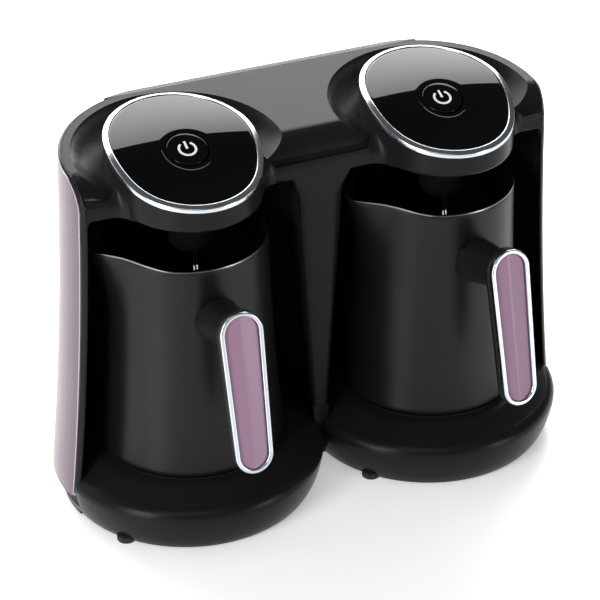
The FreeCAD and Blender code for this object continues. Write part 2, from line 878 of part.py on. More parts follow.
def pot_base():
    """The plastic foot under a pot that holds its heater and connector."""
    base = cylinder(pot_base_outer, pot_base_bottom, pot_recess_top)
    base = base.cut(cylinder(pot_base_outer - wall, pot_base_bottom + pot_wall, pot_recess_top))
    return base.cut(cylinder(connector_radius + 4 * fit_gap, pot_base_bottom, pot_recess_top))


def heater():
    """The heating plate under a pot's floor, with its element ring brazed on."""
    radius = pot_base_outer - wall - heater_gap
    low = pot_recess_top - heater_thickness
    plate = cylinder(radius, low, pot_recess_top)
    ring = Part.makeTorus(radius - element_inset, element_radius, Vector(0, 0, low - element_radius + 0.4))
    return plate.fuse(ring)


def pot_connector():
    """The pot's half of the connector, open from below for the base's post and contacts."""
    top = pot_recess_top - heater_thickness
    body = cylinder(connector_radius + 2 * fit_gap, pot_base_bottom, top)
    body = body.cut(cylinder(connector_post_radius + slide_gap, pot_base_bottom - 1,
                             pot_base_bottom + connector_post_height + slide_gap))
    bore = tube(contact_ring_radius + contact_radius + slide_gap,
                contact_ring_radius - contact_radius - slide_gap,
                pot_base_bottom - 1, pot_base_bottom + contact_height + slide_gap)
    return body.cut(bore)


# Handle pieces: drawn upright with the front face at y = 0 and the top at z = 0, then leaned

def pill(inset, y0, y1):
    """A bar with round ends that narrows downward, width across X and length down Z."""
    top_radius = handle_top_width / 2
    low_radius = handle_low_width / 2
    top = -top_radius
    low = -handle_length + low_radius
    taper = math.asin((top_radius - low_radius) / (top - low))
    ends = ((top_radius - inset, top), (low_radius - inset, low))
    (upper_x, upper_z), (lower_x, lower_z) = [
        (radius * math.cos(taper), z - radius * math.sin(taper)) for radius, z in ends]
    bar = polygon([Vector(upper_x, y0, upper_z), Vector(lower_x, y0, lower_z),
                   Vector(-lower_x, y0, lower_z), Vector(-upper_x, y0, upper_z)])
    bar = bar.extrude(Vector(0, y1 - y0, 0))
    return bar.fuse([cylinder_y(radius, y0, y1, 0, z) for radius, z in ends]).removeSplitter()


def leaned(shape):
    shape = turned(shape, -handle_tilt, Vector(1, 0, 0))
    return moved(shape, 0, handle_top_y, handle_top_height)


def handle_frame():
    return leaned(pill(0, 0, frame_depth).cut(pill(frame_width, 0, frame_depth)))


def handle_inlay():
    """The lilac front, folded along its length into two shallow facets."""
    half = handle_top_width / 2
    low = -handle_length
    back = inlay_drop + inlay_thickness
    ridge = polygon([Vector(-half, inlay_drop + inlay_ridge, low), Vector(inlay_ridge_x, inlay_drop, low),
                     Vector(half, inlay_drop + inlay_ridge, low), Vector(half, back, low),
                     Vector(-half, back, low)])
    fold = ridge.extrude(Vector(0, 0, handle_length))
    return leaned(pill(frame_width + rest_gap, 0, back).common(fold))


def handle_core():
    """The black back of the handle with the arm that runs to the boss on the pot."""
    core = pill(frame_width + rest_gap, inlay_drop + inlay_thickness, frame_depth)
    core = core.fuse(pill(0, frame_depth, handle_depth)).removeSplitter()
    back = [edge for edge in core.Edges if edge.BoundBox.YMin > handle_depth - rest_gap]
    core = leaned(core.makeFillet(handle_edge, back))
    start = Vector(0, -pot_top_radius + wall, boss_height)
    lean = math.tan(math.radians(handle_tilt))
    end_y = handle_top_y - (handle_top_height - arm_end_height) * lean + handle_depth - handle_edge / 2
    end = Vector(0, end_y, arm_end_height)
    run = end - start
    arm = Part.makeCone(boss_radius, arm_end_radius, run.Length, start, run)
    in_front = leaned(box(-above, above, -above, frame_depth, -handle_length, above))
    core = core.fuse(arm.cut(pot_form(0, pot_bottom)).cut(in_front))
    core = core.cut(handle_screw_shank(handle_screw_radius))
    return core.removeSplitter()


def handle_screw_shank(radius):
    return cylinder_y(radius, -pot_bottom_radius - wall * 4, -pot_top_radius + wall * 2, 0, boss_height)


def handle_screw():
    """The screw from inside the pot into the handle's boss."""
    wall_y = -pot_radius(boss_height) + pot_wall
    head_y = wall_y + handle_screw_head_height
    head = cylinder_y(handle_screw_head_radius, wall_y - 1, head_y, 0, boss_height)
    shank = handle_screw_shank(handle_screw_radius)
    shank = shank.common(box(-above, above, -above, head_y, 0, over_top))
    return head.common(pot_form(pot_wall, pot_floor)).fuse(shank)


def build():
    parts = {
        "front_shell": front_shell(),
        "rear_cover": rear_cover(),
        "cover_screws": cover_screws(),
        "base_tray": base_tray(),
        "bottom_plate": bottom_plate(),
        "plate_screws": plate_screws(),
        "rubber_feet": rubber_feet(),
        "cord_gland": cord_gland(),
        "power_board": power_board(),
        "board_parts": board_parts(),
        "board_screws": board_screws(),
    }
    fixed = {"head_shell": head_shell, "head_cover": head_cover, "head_ring": head_ring,
             "head_glass": head_glass, "power_button": power_button, "button_dome": button_dome,
             "switch_board": switch_board, "sensor_hood": sensor_hood, "sensor_guides": sensor_guides,
             "seat_plate": seat_plate, "base_connector": base_connector,
             "base_contacts": base_contacts}
    turning = {"pot_body": pot_body, "pot_base": pot_base, "heater": heater,
               "pot_connector": pot_connector, "handle_core": handle_core,
               "handle_frame": handle_frame, "handle_inlay": handle_inlay,
               "handle_screw": handle_screw}
    made = {name: make() for name, make in {**fixed, **turning}.items()}
    for name, side in (("left", -1), ("right", 1)):
        parts[name + "_panel"] = side_panel(side)
        for piece, shape in made.items():
            if piece in turning:
                shape = turned(shape, pot_turns[name], Vector(0, 0, 1))
            parts[f"{name}_{piece}"] = moved(shape, side * unit_pitch / 2)
    return parts


def main():
    parts = build()
    bounds = FreeCAD.BoundBox()
    for shape in parts.values():
        bounds.add(shape.optimalBoundingBox(False))
    shift = Vector(-bounds.Center.x, -bounds.Center.y, -bounds.ZMin)
    print("origin shift", shift, "size", bounds.XLength, bounds.YLength, bounds.ZLength)
    os.makedirs("parts", exist_ok=True)
    for name, shape in parts.items():
        shape = moved(shape, shift.x, shift.y, shift.z)
        print(name, len(shape.Solids), round(shape.Volume, 1), shape.isValid())
        shape.exportStep(f"parts/{name}.step")


main()
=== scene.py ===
"""Twin electric coffee maker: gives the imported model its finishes, its rounded pieces and its studio."""

import json
import math

import bpy
from bpy.props import FloatProperty, FloatVectorProperty, PointerProperty
from mathutils import Matrix, Vector


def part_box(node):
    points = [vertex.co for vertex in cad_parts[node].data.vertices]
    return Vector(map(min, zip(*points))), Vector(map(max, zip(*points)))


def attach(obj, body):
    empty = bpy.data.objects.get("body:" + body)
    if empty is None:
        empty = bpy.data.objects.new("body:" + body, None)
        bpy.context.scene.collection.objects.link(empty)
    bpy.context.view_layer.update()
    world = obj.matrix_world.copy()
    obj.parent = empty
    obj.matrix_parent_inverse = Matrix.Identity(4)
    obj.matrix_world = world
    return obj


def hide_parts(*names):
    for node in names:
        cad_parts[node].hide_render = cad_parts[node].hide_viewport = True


bl_info = {
    "name": "Twin coffee maker",
    "version": (1, 0, 0),
    "blender": (4, 5, 0),
    "location": "View3D > Sidebar > Coffee maker",
    "description": "Models and finishes the visible pieces of a twin electric coffee maker",
    "category": "Object",
}

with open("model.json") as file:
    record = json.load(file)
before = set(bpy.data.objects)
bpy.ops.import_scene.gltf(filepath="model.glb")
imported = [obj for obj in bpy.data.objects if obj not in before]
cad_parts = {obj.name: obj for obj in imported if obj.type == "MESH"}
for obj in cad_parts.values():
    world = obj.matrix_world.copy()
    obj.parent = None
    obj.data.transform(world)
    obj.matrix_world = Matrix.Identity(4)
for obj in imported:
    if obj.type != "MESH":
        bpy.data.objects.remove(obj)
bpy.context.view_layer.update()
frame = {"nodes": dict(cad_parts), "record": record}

SIDES = ("left", "right")
MM = 0.001


def middle_of(node):
    low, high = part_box(node)
    return (low + high) / 2


# Read from the frame: the height of the housing's foot in millimetres, and each unit's axis
HOUSING_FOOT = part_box("front_shell")[0].z / MM
UNIT_AXIS = {side: middle_of(side + "_base_connector") for side in SIDES}
# How far each pot is turned about its axis, and how far the roof and the heads rise to the rear
POT_TURN = {"left": 0.0, "right": math.radians(5.6)}
ROOF_TILT = math.radians(5)

CAMERA_PLACE = (-0.4319, -0.95083, 0.7393)
CAMERA_AIM = (0.34458, 0.78091, -0.52100)


def size(name, text, value):
    return FloatProperty(name=name, description=text, default=value * MM, unit="LENGTH")


def slant(name, text, degrees):
    return FloatProperty(name=name, description=text, default=math.radians(degrees), subtype="ANGLE")


def number(name, text, value):
    return FloatProperty(name=name, description=text, default=value)


def colour(name, text, value):
    return FloatVectorProperty(name=name, description=text, default=value, subtype="COLOR",
                               size=3, min=0.0, max=1.0)


class HeadSizes(bpy.types.PropertyGroup):
    """Sizes of the oval heads with their rings, glossy panels and buttons"""
    half_width: size("Half width", "Half the oval head's width", 38.7)
    half_length: size("Half length", "Half the oval head's length", 45.3)
    centre_y: size("Centre", "The oval's centre from the unit's axis, to the rear", -0.7)
    deck_height: size("Deck height", "Height of the panel's step at the oval's centre", 199.9)
    deck_step: size("Step", "How far the panel drops from rear to front", 11.8)
    deck_step_y: size("Step place", "Where the panel's step lies from the oval's centre", -14.0)
    deck_step_length: size("Step length", "How softly the panel steps down", 18.35)
    crown: size("Crown", "How far the panel bulges in its middle", 2.2)
    ring_width: size("Ring width", "Width of the bright ring", 3.0)
    ring_height: size("Ring height", "Height of the bright ring", 3.0)
    ring_bevel: size("Ring bevel", "How far the ring's top falls towards its outer edge", 0.8)
    panel_drop: size("Panel drop", "How far the panel lies under the ring", 0.6)
    panel_dip: size("Panel dip", "How far the panel's front edge sinks below the ring", 1.2)
    panel_thickness: size("Panel thickness", "Thickness of the glossy panel", 2.5)
    skirt_bottom: size("Skirt bottom", "Height of the head's lower edge", 176.3)
    skirt_round: size("Skirt rounding", "Rounding of the head's lower edge", 2.2)
    skirt_wall: size("Skirt wall", "Thickness of the head's outer wall", 2.5)
    neck_radius: size("Neck radius", "Hollow rounding where a head meets the housing", 8.0)
    collar_radius: size("Collar radius", "Outer radius of the dished collar round the button", 13.2)
    collar_lip: size("Collar lip", "Depth of the small step at the collar's outer edge", 0.13)
    collar_depth: size("Collar depth", "Depth of the collar at the button", 0.38)
    button_radius: size("Button radius", "Radius of the power button", 10.4)
    button_gap: size("Button gap", "Gap round the power button", 0.4)
    button_y: size("Button place", "The button's centre from the unit's axis", -7.0)
    button_thickness: size("Button thickness", "Thickness of the button's cap", 3.0)
    button_drop: size("Button drop", "How far the button's flat top lies under the panel", 0.55)
    symbol_radius: size("Symbol radius", "Radius of the power symbol's ring", 4.25)
    symbol_line: size("Symbol line", "Width of the power symbol's lines", 1.2)


class HousingSizes(bpy.types.PropertyGroup):
    """Sizes of the housing's front, dishes, niches and side panels, and of the base"""
    front_y: size("Front", "The housing's front face from the unit's axis", -13.5)
    front_roll: size("Front roll", "Rounding of the housing's upper front edge", 18.0)
    front_top: size("Front top", "Height where that rounding starts", 179.37)
    top_lift: size("Top lift", "How far the housing's upper end is drawn up", 1.3)
    dish_radius: size("Dish radius", "Outer radius of the dish round a head", 54.0)
    dish_floor: size("Dish floor", "Radius where the dish reaches its floor", 40.0)
    dish_deeper: size("Dish depth", "How much deeper the dish is cut at its floor", 5.5)
    niche_top: size("Niche radius", "The niche's radius at its ceiling", 55.0)
    niche_low: size("Niche foot radius", "The niche's radius at the housing's foot", 69.0)
    niche_ceiling: size("Niche ceiling", "Height of the niche's ceiling", 175.5)
    niche_foot: size("Niche foot", "Height of the housing's foot", HOUSING_FOOT)
    side_setback: size("Side setback", "How far the side panels start behind the housing's front", 2.8)
    side_top_setback: size("Upper setback", "How far the side panels end below the housing's top", 0.9)
    side_stand: size("Side stand", "How far the side panels stand proud of their black border", 0.3)
    # The light line is a lighter strip of colour: a painted highlight along the panel's front edge
    side_edge: size("Side edge", "Width of the light line along a side panel's front edge", 0.9)
    base_drop: size("Base drop", "How far the base's lower edge is drawn down", 2.4)


class HandleSizes(bpy.types.PropertyGroup):
    """Sizes of the handles' bright frames and lilac inlays"""
    top_width: size("Top width", "Width of the grip at its top", 22.5)
    low_width: size("Low width", "Width of the grip at its lower end", 19.8)
    length: size("Length", "Length of the grip", 84.7)
    top_height: size("Top height", "Height of the grip's top", 145.0)
    top_y: size("Reach", "How far the grip's top stands in front of the pot's axis", -72.5)
    tilt: slant("Tilt", "How far the grip leans out at its lower end", 13.0)
    frame_width: size("Frame width", "Width of the bright frame", 2.3)
    frame_depth: size("Frame depth", "Depth of the bright frame", 3.6)
    inlay_drop: size("Inlay drop", "How far the inlay lies behind the frame", 0.5)
    inlay_ridge: size("Inlay ridge", "Height of the inlay's lengthwise ridge", 1.8)
    inlay_ridge_x: size("Ridge place", "The ridge from the middle of the inlay", -1.0)
    inlay_thickness: size("Inlay thickness", "Thickness of the lilac inlay", 2.4)


class PotSizes(bpy.types.PropertyGroup):
    """Sizes of the pots, their rims and spouts"""
    bottom_height: size("Bottom", "Height of the pot's lower edge", 35.5)
    bottom_radius: size("Bottom radius", "Radius of the pot's lower edge", 49.4)
    middle_height: size("Middle", "Height where the flare is measured", 92.0)
    middle_radius: size("Middle radius", "Radius at that height", 44.9)
    rim_height: size("Rim", "Height of the rim", 153.0)
    rim_radius: size("Rim radius", "Radius of the rim", 42.4)
    wall: size("Wall", "Thickness of the wall", 1.6)
    floor_height: size("Floor", "Height of the pot's floor", 46.0)
    spout_reach: size("Spout reach", "How far the spout reaches from the axis", 55.2)
    spout_rise: size("Spout rise", "How far the rim lifts at the spout", 3.0)
    spout_root: size("Spout root", "Height where the spout starts", 108.0)
    spout_spread: slant("Spout spread", "Half the spout's width as an angle", 16.0)


class Finishes(bpy.types.PropertyGroup):
    """Colours of the finishes that show"""
    black: colour("Black", "Grained black plastic", (0.0092, 0.0092, 0.0096))
    gloss: colour("Gloss black", "Polished black panel", (0.0014, 0.0014, 0.0016))
    coating: colour("Coating", "The pots' satin black coating", (0.0046, 0.0046, 0.0048))
    lilac: colour("Lilac", "Lilac plastic", (0.262, 0.142, 0.222))
    mauve: colour("Mauve", "The greyer lilac of the side panels", (0.108, 0.064, 0.100))
    chrome: colour("Bright metal", "Satin plating of rings and frames", (0.62, 0.66, 0.70))
    symbol: colour("Symbol", "The power symbol's print", (0.6, 0.6, 0.6))


class StudioSettings(bpy.types.PropertyGroup):
    """The camera's lens and the strength of each light"""
    lens: number("Lens", "Focal length in millimetres", 140.7)
    world: number("World", "Strength of the even light all round", 0.09)
    rear: number("Rear", "Brightness of the large softbox behind", 5.8)
    rim: number("Rim", "Brightness of the softbox at the rear left", 1.1)
    left: number("Left", "Brightness of the tall softbox at the left", 8.8)
    front: number("Front", "Brightness of the high softbox in front", 1.6)
    right: number("Right", "Brightness of the low softbox at the front right", 6.2)
    top: number("Top", "Brightness of the overhead fill", 0.7)
    floor_glow: number("Floor glow", "Light that the lit floor adds", 0.38)


def deck_height(sizes, x, y, crown):
    """Height of a head's top at a place measured from its unit's axis."""
    v = y - sizes.centre_y
    step = sizes.deck_step / 2 * math.tanh((v - sizes.deck_step_y) / sizes.deck_step_length)
    round_part = 1 - (x / sizes.half_width) ** 2 - (v / sizes.half_length) ** 2
    return sizes.deck_height + math.tan(ROOF_TILT) * v + step + crown * round_part


# Modelling by hand: small steps that every piece shares

def deselect():
    if bpy.context.mode != "OBJECT":
        bpy.ops.object.mode_set(mode="OBJECT")
    bpy.ops.object.select_all(action="DESELECT")


def make_active(obj):
    deselect()
    obj.select_set(True)
    bpy.context.view_layer.objects.active = obj


def edit(obj, mode="VERT"):
    make_active(obj)
    bpy.ops.object.mode_set(mode="EDIT")
    bpy.ops.mesh.select_mode(type=mode)
    bpy.ops.mesh.select_all(action="SELECT")


def done():
    bpy.ops.object.mode_set(mode="OBJECT")
    return bpy.context.object


def finish_mesh(obj, angle=40.0):
    """Closes doubles, turns the faces outwards and smooths all but the sharp edges."""
    edit(obj)
    bpy.ops.mesh.remove_doubles(threshold=1e-6)
    bpy.ops.mesh.normals_make_consistent(inside=False)
    done()
    bpy.ops.object.shade_smooth_by_angle(angle=math.radians(angle))
    return obj


def modifier(obj, kind, **settings):
    """Adds one modifier and applies it."""
    make_active(obj)
    bpy.ops.object.modifier_add(type=kind)
    added = obj.modifiers[-1]
    for key, value in settings.items():
        setattr(added, key, value)
    bpy.ops.object.modifier_apply(modifier=added.name)


def round_edges(obj, width, segments=3, angle=35.0):
    modifier(obj, "BEVEL", width=width, segments=segments, limit_method="ANGLE",
             angle_limit=math.radians(angle), harden_normals=False)


def select_open_edges():
    bpy.ops.mesh.select_all(action="DESELECT")
    bpy.ops.mesh.select_non_manifold(extend=False)


def turned(profile):
    """Round sections from points of radius and height."""
    return [(radius, radius, 0.0, z) for radius, z in profile]


def round_the_head(s, profile):
    """Sections that follow the oval head, from points of inset and height."""
    return [(s.half_width - inset, s.half_length - inset, s.centre_y, z) for inset, z in profile]


def ovals(name, sections, count=96, closed=True):
    """Ovals drawn out one after the other; each is half width, half length, centre y and height."""
    deselect()
    bpy.ops.mesh.primitive_circle_add(vertices=count, radius=1.0, fill_type="NOTHING",
                                      location=(0, 0, 0))
    obj = bpy.context.object
    obj.name = name
    edit(obj, "EDGE")
    wide, long, y, z = sections[0]
    bpy.ops.transform.resize(value=(wide, long, 1))
    bpy.ops.transform.translate(value=(0, y, z))
    last = sections[0]
    for wide, long, y, z in sections[1:]:
        bpy.ops.mesh.extrude_edges_move(
            TRANSFORM_OT_translate={"value": (0, y - last[2], z - last[3])})
        bpy.ops.transform.resize(value=(wide / last[0], long / last[1], 1), center_override=(0, y, z))
        last = (wide, long, y, z)
    if closed:
        select_open_edges()
        bpy.ops.mesh.bridge_edge_loops()
    return done()


def apply_place(obj, matrix):
    """Puts a piece in its place and leaves its object at the origin."""
    make_active(obj)
    obj.matrix_world = matrix
    bpy.ops.object.transform_apply(location=True, rotation=True, scale=True)
    return obj


def copied(obj, name):
    """A copy with its own mesh."""
    copy = obj.copy()
    copy.data = obj.data.copy()
    copy.name = name
    copy.data.name = name
    bpy.context.scene.collection.objects.link(copy)
    return copy


def smoothed_node(node, name, angle=32.0, shape=None):
    """A copy of a CAD node's mesh, joined up, shaped a little further and smoothed."""
    mesh = frame["nodes"][node].data.copy()
    mesh.name = name
    obj = bpy.data.objects.new(name, mesh)
    bpy.context.scene.collection.objects.link(obj)
    edit(obj)
    bpy.ops.mesh.remove_doubles(threshold=2e-6)
    done()
    if shape:
        shape(obj)
    make_active(obj)
    bpy.ops.object.shade_smooth_by_angle(angle=math.radians(angle))
    modifier(obj, "WEIGHTED_NORMAL", keep_sharp=True)
    return obj


def set_back(obj, h, more):
    """Trims a side panel along a line inside the housing's front and top outline."""
    axis_y = UNIT_AXIS["left"].y
    centre = Vector((axis_y + h.front_y + h.front_roll, h.front_top - h.top_lift))
    reach = (h.front_roll - h.side_setback - more, h.front_roll - h.side_top_setback - more)
    steps = 7
    planes = []
    for step in range(steps):
        turn = math.pi / 2 * step / steps
        out = (-math.cos(turn) / reach[0], math.sin(turn) / reach[1])
        planes.append((centre.x - reach[0] * math.cos(turn), centre.y + reach[1] * math.sin(turn), out))
    planes.append((centre.x, centre.y + reach[1], (-math.sin(ROOF_TILT), math.cos(ROOF_TILT))))
    for y, z, (out_y, out_z) in planes:
        edit(obj)
        bpy.ops.mesh.bisect(plane_co=(0, y, z), plane_no=Vector((0, out_y, out_z)).normalized(),
                            use_fill=True, clear_outer=True)
        done()


def ramp(value, start, end):
    """Rises smoothly from 0 at the start to 1 at the end."""
    share = min(max((value - start) / (end - start), 0.0), 1.0)
    return share * share * (3 - 2 * share)


def draw_up(obj):
    """Draws the upper end of a moulding up to its full height."""
    lift = bpy.context.scene.coffee_housing.top_lift
    still_below, full_above = 60 * MM, 170 * MM
    for vertex in obj.data.vertices:
        vertex.co.z += lift * ramp(vertex.co.z, still_below, full_above)
    obj.data.update()


def shape_shell(obj):
    """Cuts the dishes deeper, rounds the niches' upright edges and draws the top up."""
    h = bpy.context.scene.coffee_housing
    head_y = bpy.context.scene.coffee_head.centre_y
    over_niches = 184 * MM
    for axis in UNIT_AXIS.values():
        for vertex in obj.data.vertices:
            away = math.hypot(vertex.co.x - axis.x, vertex.co.y - axis.y - head_y)
            if vertex.co.z > over_niches and away < h.dish_radius:
                share = (h.dish_radius - away) / (h.dish_radius - h.dish_floor)
                vertex.co.z -= h.dish_deeper * min(share, 1.0)
    obj.data.update()
    for cutter in [niche_cutter(h, side, way) for side in SIDES for way in (-1, 1)]:
        modifier(obj, "BOOLEAN", object=cutter, operation="DIFFERENCE", solver="EXACT")
        bpy.data.objects.remove(cutter)
    draw_up(obj)


def niche_cutter(h, side, way):
    """What a rounded edge takes away where a niche's wall meets the housing's front."""
    arc_steps, levels = 10, 30
    over_base, under_ceiling = 26 * MM, 0.2 * MM
    axis = UNIT_AXIS[side]
    low, high = h.niche_foot + over_base, h.niche_ceiling - under_ceiling
    deselect()
    bpy.ops.mesh.primitive_circle_add(vertices=arc_steps + 4, radius=1.0, fill_type="NOTHING",
                                      location=(0, 0, 0))
    cutter = bpy.context.object
    edit(cutter, "EDGE")
    for _ in range(levels):
        bpy.ops.mesh.extrude_edges_move(TRANSFORM_OT_translate={"value": (0, 0, 1.0)})
    done()
    rows = {}
    for vertex in cutter.data.vertices:
        rows.setdefault(round(vertex.co.z), []).append(vertex)
    for level, row in rows.items():
        z = low + (high - low) * level / levels
        row.sort(key=lambda vertex: math.atan2(vertex.co.y, vertex.co.x))
        for vertex, place in zip(row, niche_corner(h, z, arc_steps)):
            vertex.co = (axis.x + way * place[0], axis.y + place[1], z)
    cutter.data.update()
    edit(cutter, "EDGE")
    select_open_edges()
    bpy.ops.mesh.edge_face_add()
    bpy.ops.mesh.select_all(action="SELECT")
    bpy.ops.mesh.normals_make_consistent(inside=False)
    return done()


def niche_corner(h, z, steps):
    """The outline of what is taken away at one height, from the niche's axis."""
    room_used, least_radius, kept_middle = 0.62, 0.4 * MM, 0.5 * MM
    fade_start, fade_end = -4 * MM, 16 * MM
    past_wall, past_front = 0.8 * MM, 0.9 * MM
    share = (h.niche_ceiling - z) / (h.niche_ceiling - h.niche_foot)
    wall = h.niche_top + (h.niche_low - h.niche_top) * share
    front = -h.front_y
    half_pitch = (UNIT_AXIS["right"].x - UNIT_AXIS["left"].x) / 2 - kept_middle
    room = (half_pitch ** 2 - wall ** 2 + front ** 2) / (2 * (wall + front))
    radius = max(room_used * room, least_radius) * ramp(h.niche_ceiling - z, fade_start, fade_end)
    centre = Vector((math.sqrt((wall + radius) ** 2 - (radius - front) ** 2), radius - front))
    start = math.radians(-90)
    end = math.atan2(-centre.y, -centre.x)
    if end > 0:
        end -= 2 * math.pi
    outline = [centre + radius * Vector((math.cos(turn), math.sin(turn)))
               for turn in (start + (end - start) * step / steps for step in range(steps + 1))]
    corner = Vector((math.sqrt(wall ** 2 - front ** 2), -front))
    inward = outline[-1] * (1 - past_wall / outline[-1].length)
    outline += [inward, corner + Vector((-past_front, -past_front)),
                Vector((outline[0].x, -front - past_front))]
    return outline


def draw_down(obj):
    """Draws the base's lower edge down towards the floor."""
    drop = bpy.context.scene.coffee_housing.base_drop
    fade = 16 * MM
    low = min(vertex.co.z for vertex in obj.data.vertices)
    for vertex in obj.data.vertices:
        vertex.co.z -= drop * (1 - ramp(vertex.co.z, low, low + fade))
    obj.data.update()


def thin_guides(obj):
    """Lets the two light guides hang lower and makes them slender."""
    draw_up(obj)
    rod_x, closer, thinner = 1.1 * MM, 0.75, 0.6
    tip_length, tip_drop = 2 * MM, 5.8 * MM
    middle = sum(vertex.co.x for vertex in obj.data.vertices) / len(obj.data.vertices)
    low = min(vertex.co.z for vertex in obj.data.vertices)
    for vertex in obj.data.vertices:
        rod = middle + (rod_x if vertex.co.x > middle else -rod_x)
        vertex.co.x = middle + (rod - middle) * closer + (vertex.co.x - rod) * thinner
        if vertex.co.z < low + tip_length:
            vertex.co.z -= tip_drop
    obj.data.update()


SHAPING = {"front_shell": shape_shell, "rear_cover": draw_up, "base_tray": draw_down,
           "head_cover": draw_up, "sensor_hood": draw_up, "sensor_guides": thin_guides}


def place_piece(obj, node, body, slot, look=None):
    """Hands a finished piece over: it rides a body and stands for a CAD node, if one is named.

    It gets the slot's material, or the one that look names.
    """
    obj.data.materials.clear()
    obj.data.materials.append(MATERIALS[look or slot])
    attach(obj, body)
    if node:
        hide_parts(node)


class Value:
    """A shader socket that can be added, multiplied and compared."""

    def __init__(self, tree, socket):
        self.tree = tree
        self.socket = socket

    def combine(self, operation, first, second):
        node = self.tree.nodes.new("ShaderNodeMath")
        node.operation = operation
        for place, item in enumerate((first, second)):
            if isinstance(item, Value):
                self.tree.links.new(item.socket, node.inputs[place])
            else:
                node.inputs[place].default_value = item
        return Value(self.tree, node.outputs[0])

    def __add__(self, other):
        return self.combine("ADD", self, other)

    def __mul__(self, other):
        return self.combine("MULTIPLY", self, other)

    def __lt__(self, other):
        return self.combine("LESS_THAN", self, other)

    __radd__ = __add__
    __rmul__ = __mul__


class Finish:
    """One material and the tools to lay out its nodes."""

    def __init__(self, name):
        self.material = bpy.data.materials.new(name)
        self.material.use_nodes = True
        self.tree = self.material.node_tree
        self.shader = self.tree.nodes["Principled BSDF"]
        self.place = self.node("ShaderNodeTexCoord", output="Object")

    def node(self, kind, settings=(), output=0, **links):
        """Adds a node, its settings first, then the values or links of its sockets."""
        made = self.tree.nodes.new(kind)
        for key, value in dict(settings).items():
            setattr(made, key, value)
        for key, value in links.items():
            self.feed(made.inputs[key.replace("_", " ")], value)
        return Value(self.tree, made.outputs[output])

    def feed(self, socket, value):
        if isinstance(value, Value):
            self.tree.links.new(value.socket, socket)
        else:
            socket.default_value = value

    def set(self, **values):
        """Sets or links the shader's own sockets."""
        for key, value in values.items():
            self.feed(self.shader.inputs[key.replace("_", " ")], value)

    def noise(self, scale, detail=2.0, roughness=0.5):
        return self.node("ShaderNodeTexNoise", Vector=self.place, Scale=scale, Detail=detail,
                         Roughness=roughness)

    def bump(self, height, strength, distance):
        return self.node("ShaderNodeBump", Strength=strength, Distance=distance, Height=height,
                         output="Normal")

    def mix(self, amount, dark, light):
        """Blends two colours. A Mix node's colour sockets share their names, so they go by number."""
        blend = self.node("ShaderNodeMix", {"data_type": "RGBA"}, output=2)
        for place, value in ((0, amount), (6, dark), (7, light)):
            self.feed(blend.socket.node.inputs[place], value)
        return blend


def full(rgb, gain=1.0):
    """A colour with its alpha, made lighter or darker by the gain."""
    return (rgb[0] * gain, rgb[1] * gain, rgb[2] * gain, 1.0)


def grained_plastic(name, rgb, roughness=0.27, grain=0.12, coarse=2600.0):
    """Moulded plastic with a fine etched grain and a faintly uneven sheen."""
    finish = Finish(name)
    fine = finish.noise(coarse, 2.0, 0.6)
    cloud = finish.noise(22.0, 3.0, 0.55)
    rough = fine * 0.08 + cloud * 0.08 + (roughness - 0.08)
    finish.set(Base_Color=finish.mix(fine, full(rgb, 0.8), full(rgb, 1.25)), Roughness=rough,
               Normal=finish.bump(fine, grain, 0.0002), Specular_IOR_Level=0.11)
    return finish.material


def bright_metal(name, rgb, roughness=0.2):
    """Satin plating, faintly clouded and grained."""
    finish = Finish(name)
    cloud = finish.noise(60.0, 4.0, 0.6)
    fine = finish.noise(3000.0, 2.0)
    finish.set(Base_Color=finish.mix(cloud, full(rgb, 0.94), full(rgb, 1.04)), Metallic=1.0,
               Roughness=cloud * 0.08 + (roughness - 0.04), Normal=finish.bump(fine, 0.03, 0.0001))
    return finish.material


def polished_panel(name, rgb):
    """Glossy black acrylic with the faintest unevenness."""
    finish = Finish(name)
    cloud = finish.noise(18.0, 2.0)
    finish.set(Base_Color=finish.mix(cloud, full(rgb, 0.9), full(rgb, 1.1)),
               Roughness=cloud * 0.015 + 0.02, Coat_Weight=0.0, IOR=1.33,
               Normal=finish.bump(cloud, 0.01, 0.0002))
    return finish.material


def coated_metal(name, rgb):
    """Satin non-stick coating with a fine sparkle."""
    finish = Finish(name)
    fine = finish.noise(2300.0, 2.0, 0.7)
    cloud = finish.noise(30.0, 3.0)
    finish.set(Base_Color=finish.mix(fine, full(rgb, 0.7), full(rgb, 1.5)),
               Roughness=fine * 0.1 + cloud * 0.06 + 0.27, Specular_IOR_Level=0.25,
               Normal=finish.bump(fine, 0.16, 0.0002))
    return finish.material


def lilac_plastic(name, rgb, roughness=0.3, coat=0.35):
    """Pearly lilac plastic under a thin clear coat."""
    finish = Finish(name)
    fine = finish.noise(3200.0, 2.0, 0.6)
    cloud = finish.noise(25.0, 2.0)
    finish.set(Base_Color=finish.mix(fine, full(rgb, 0.93), full(rgb, 1.07)),
               Roughness=cloud * 0.06 + (roughness - 0.03), Coat_Weight=coat, Coat_Roughness=0.15,
               Normal=finish.bump(fine, 0.05, 0.0001))
    return finish.material


def plain_finish(name, rgb, roughness, metallic=0.0, scale=400.0, spread=0.15, emission=0.0):
    """For small and hidden parts: one colour that varies a little, with a painted glow where an emission
    is given.
    """
    finish = Finish(name)
    noise = finish.noise(scale, 3.0)
    finish.set(Base_Color=finish.mix(noise, full(rgb, 1 - spread), full(rgb, 1 + spread)),
               Roughness=noise * 0.12 + (roughness - 0.06), Metallic=metallic,
               Normal=finish.bump(noise, 0.08, 0.0002))
    if emission:
        finish.set(Emission_Strength=emission, Emission_Color=full(rgb))
    return finish.material


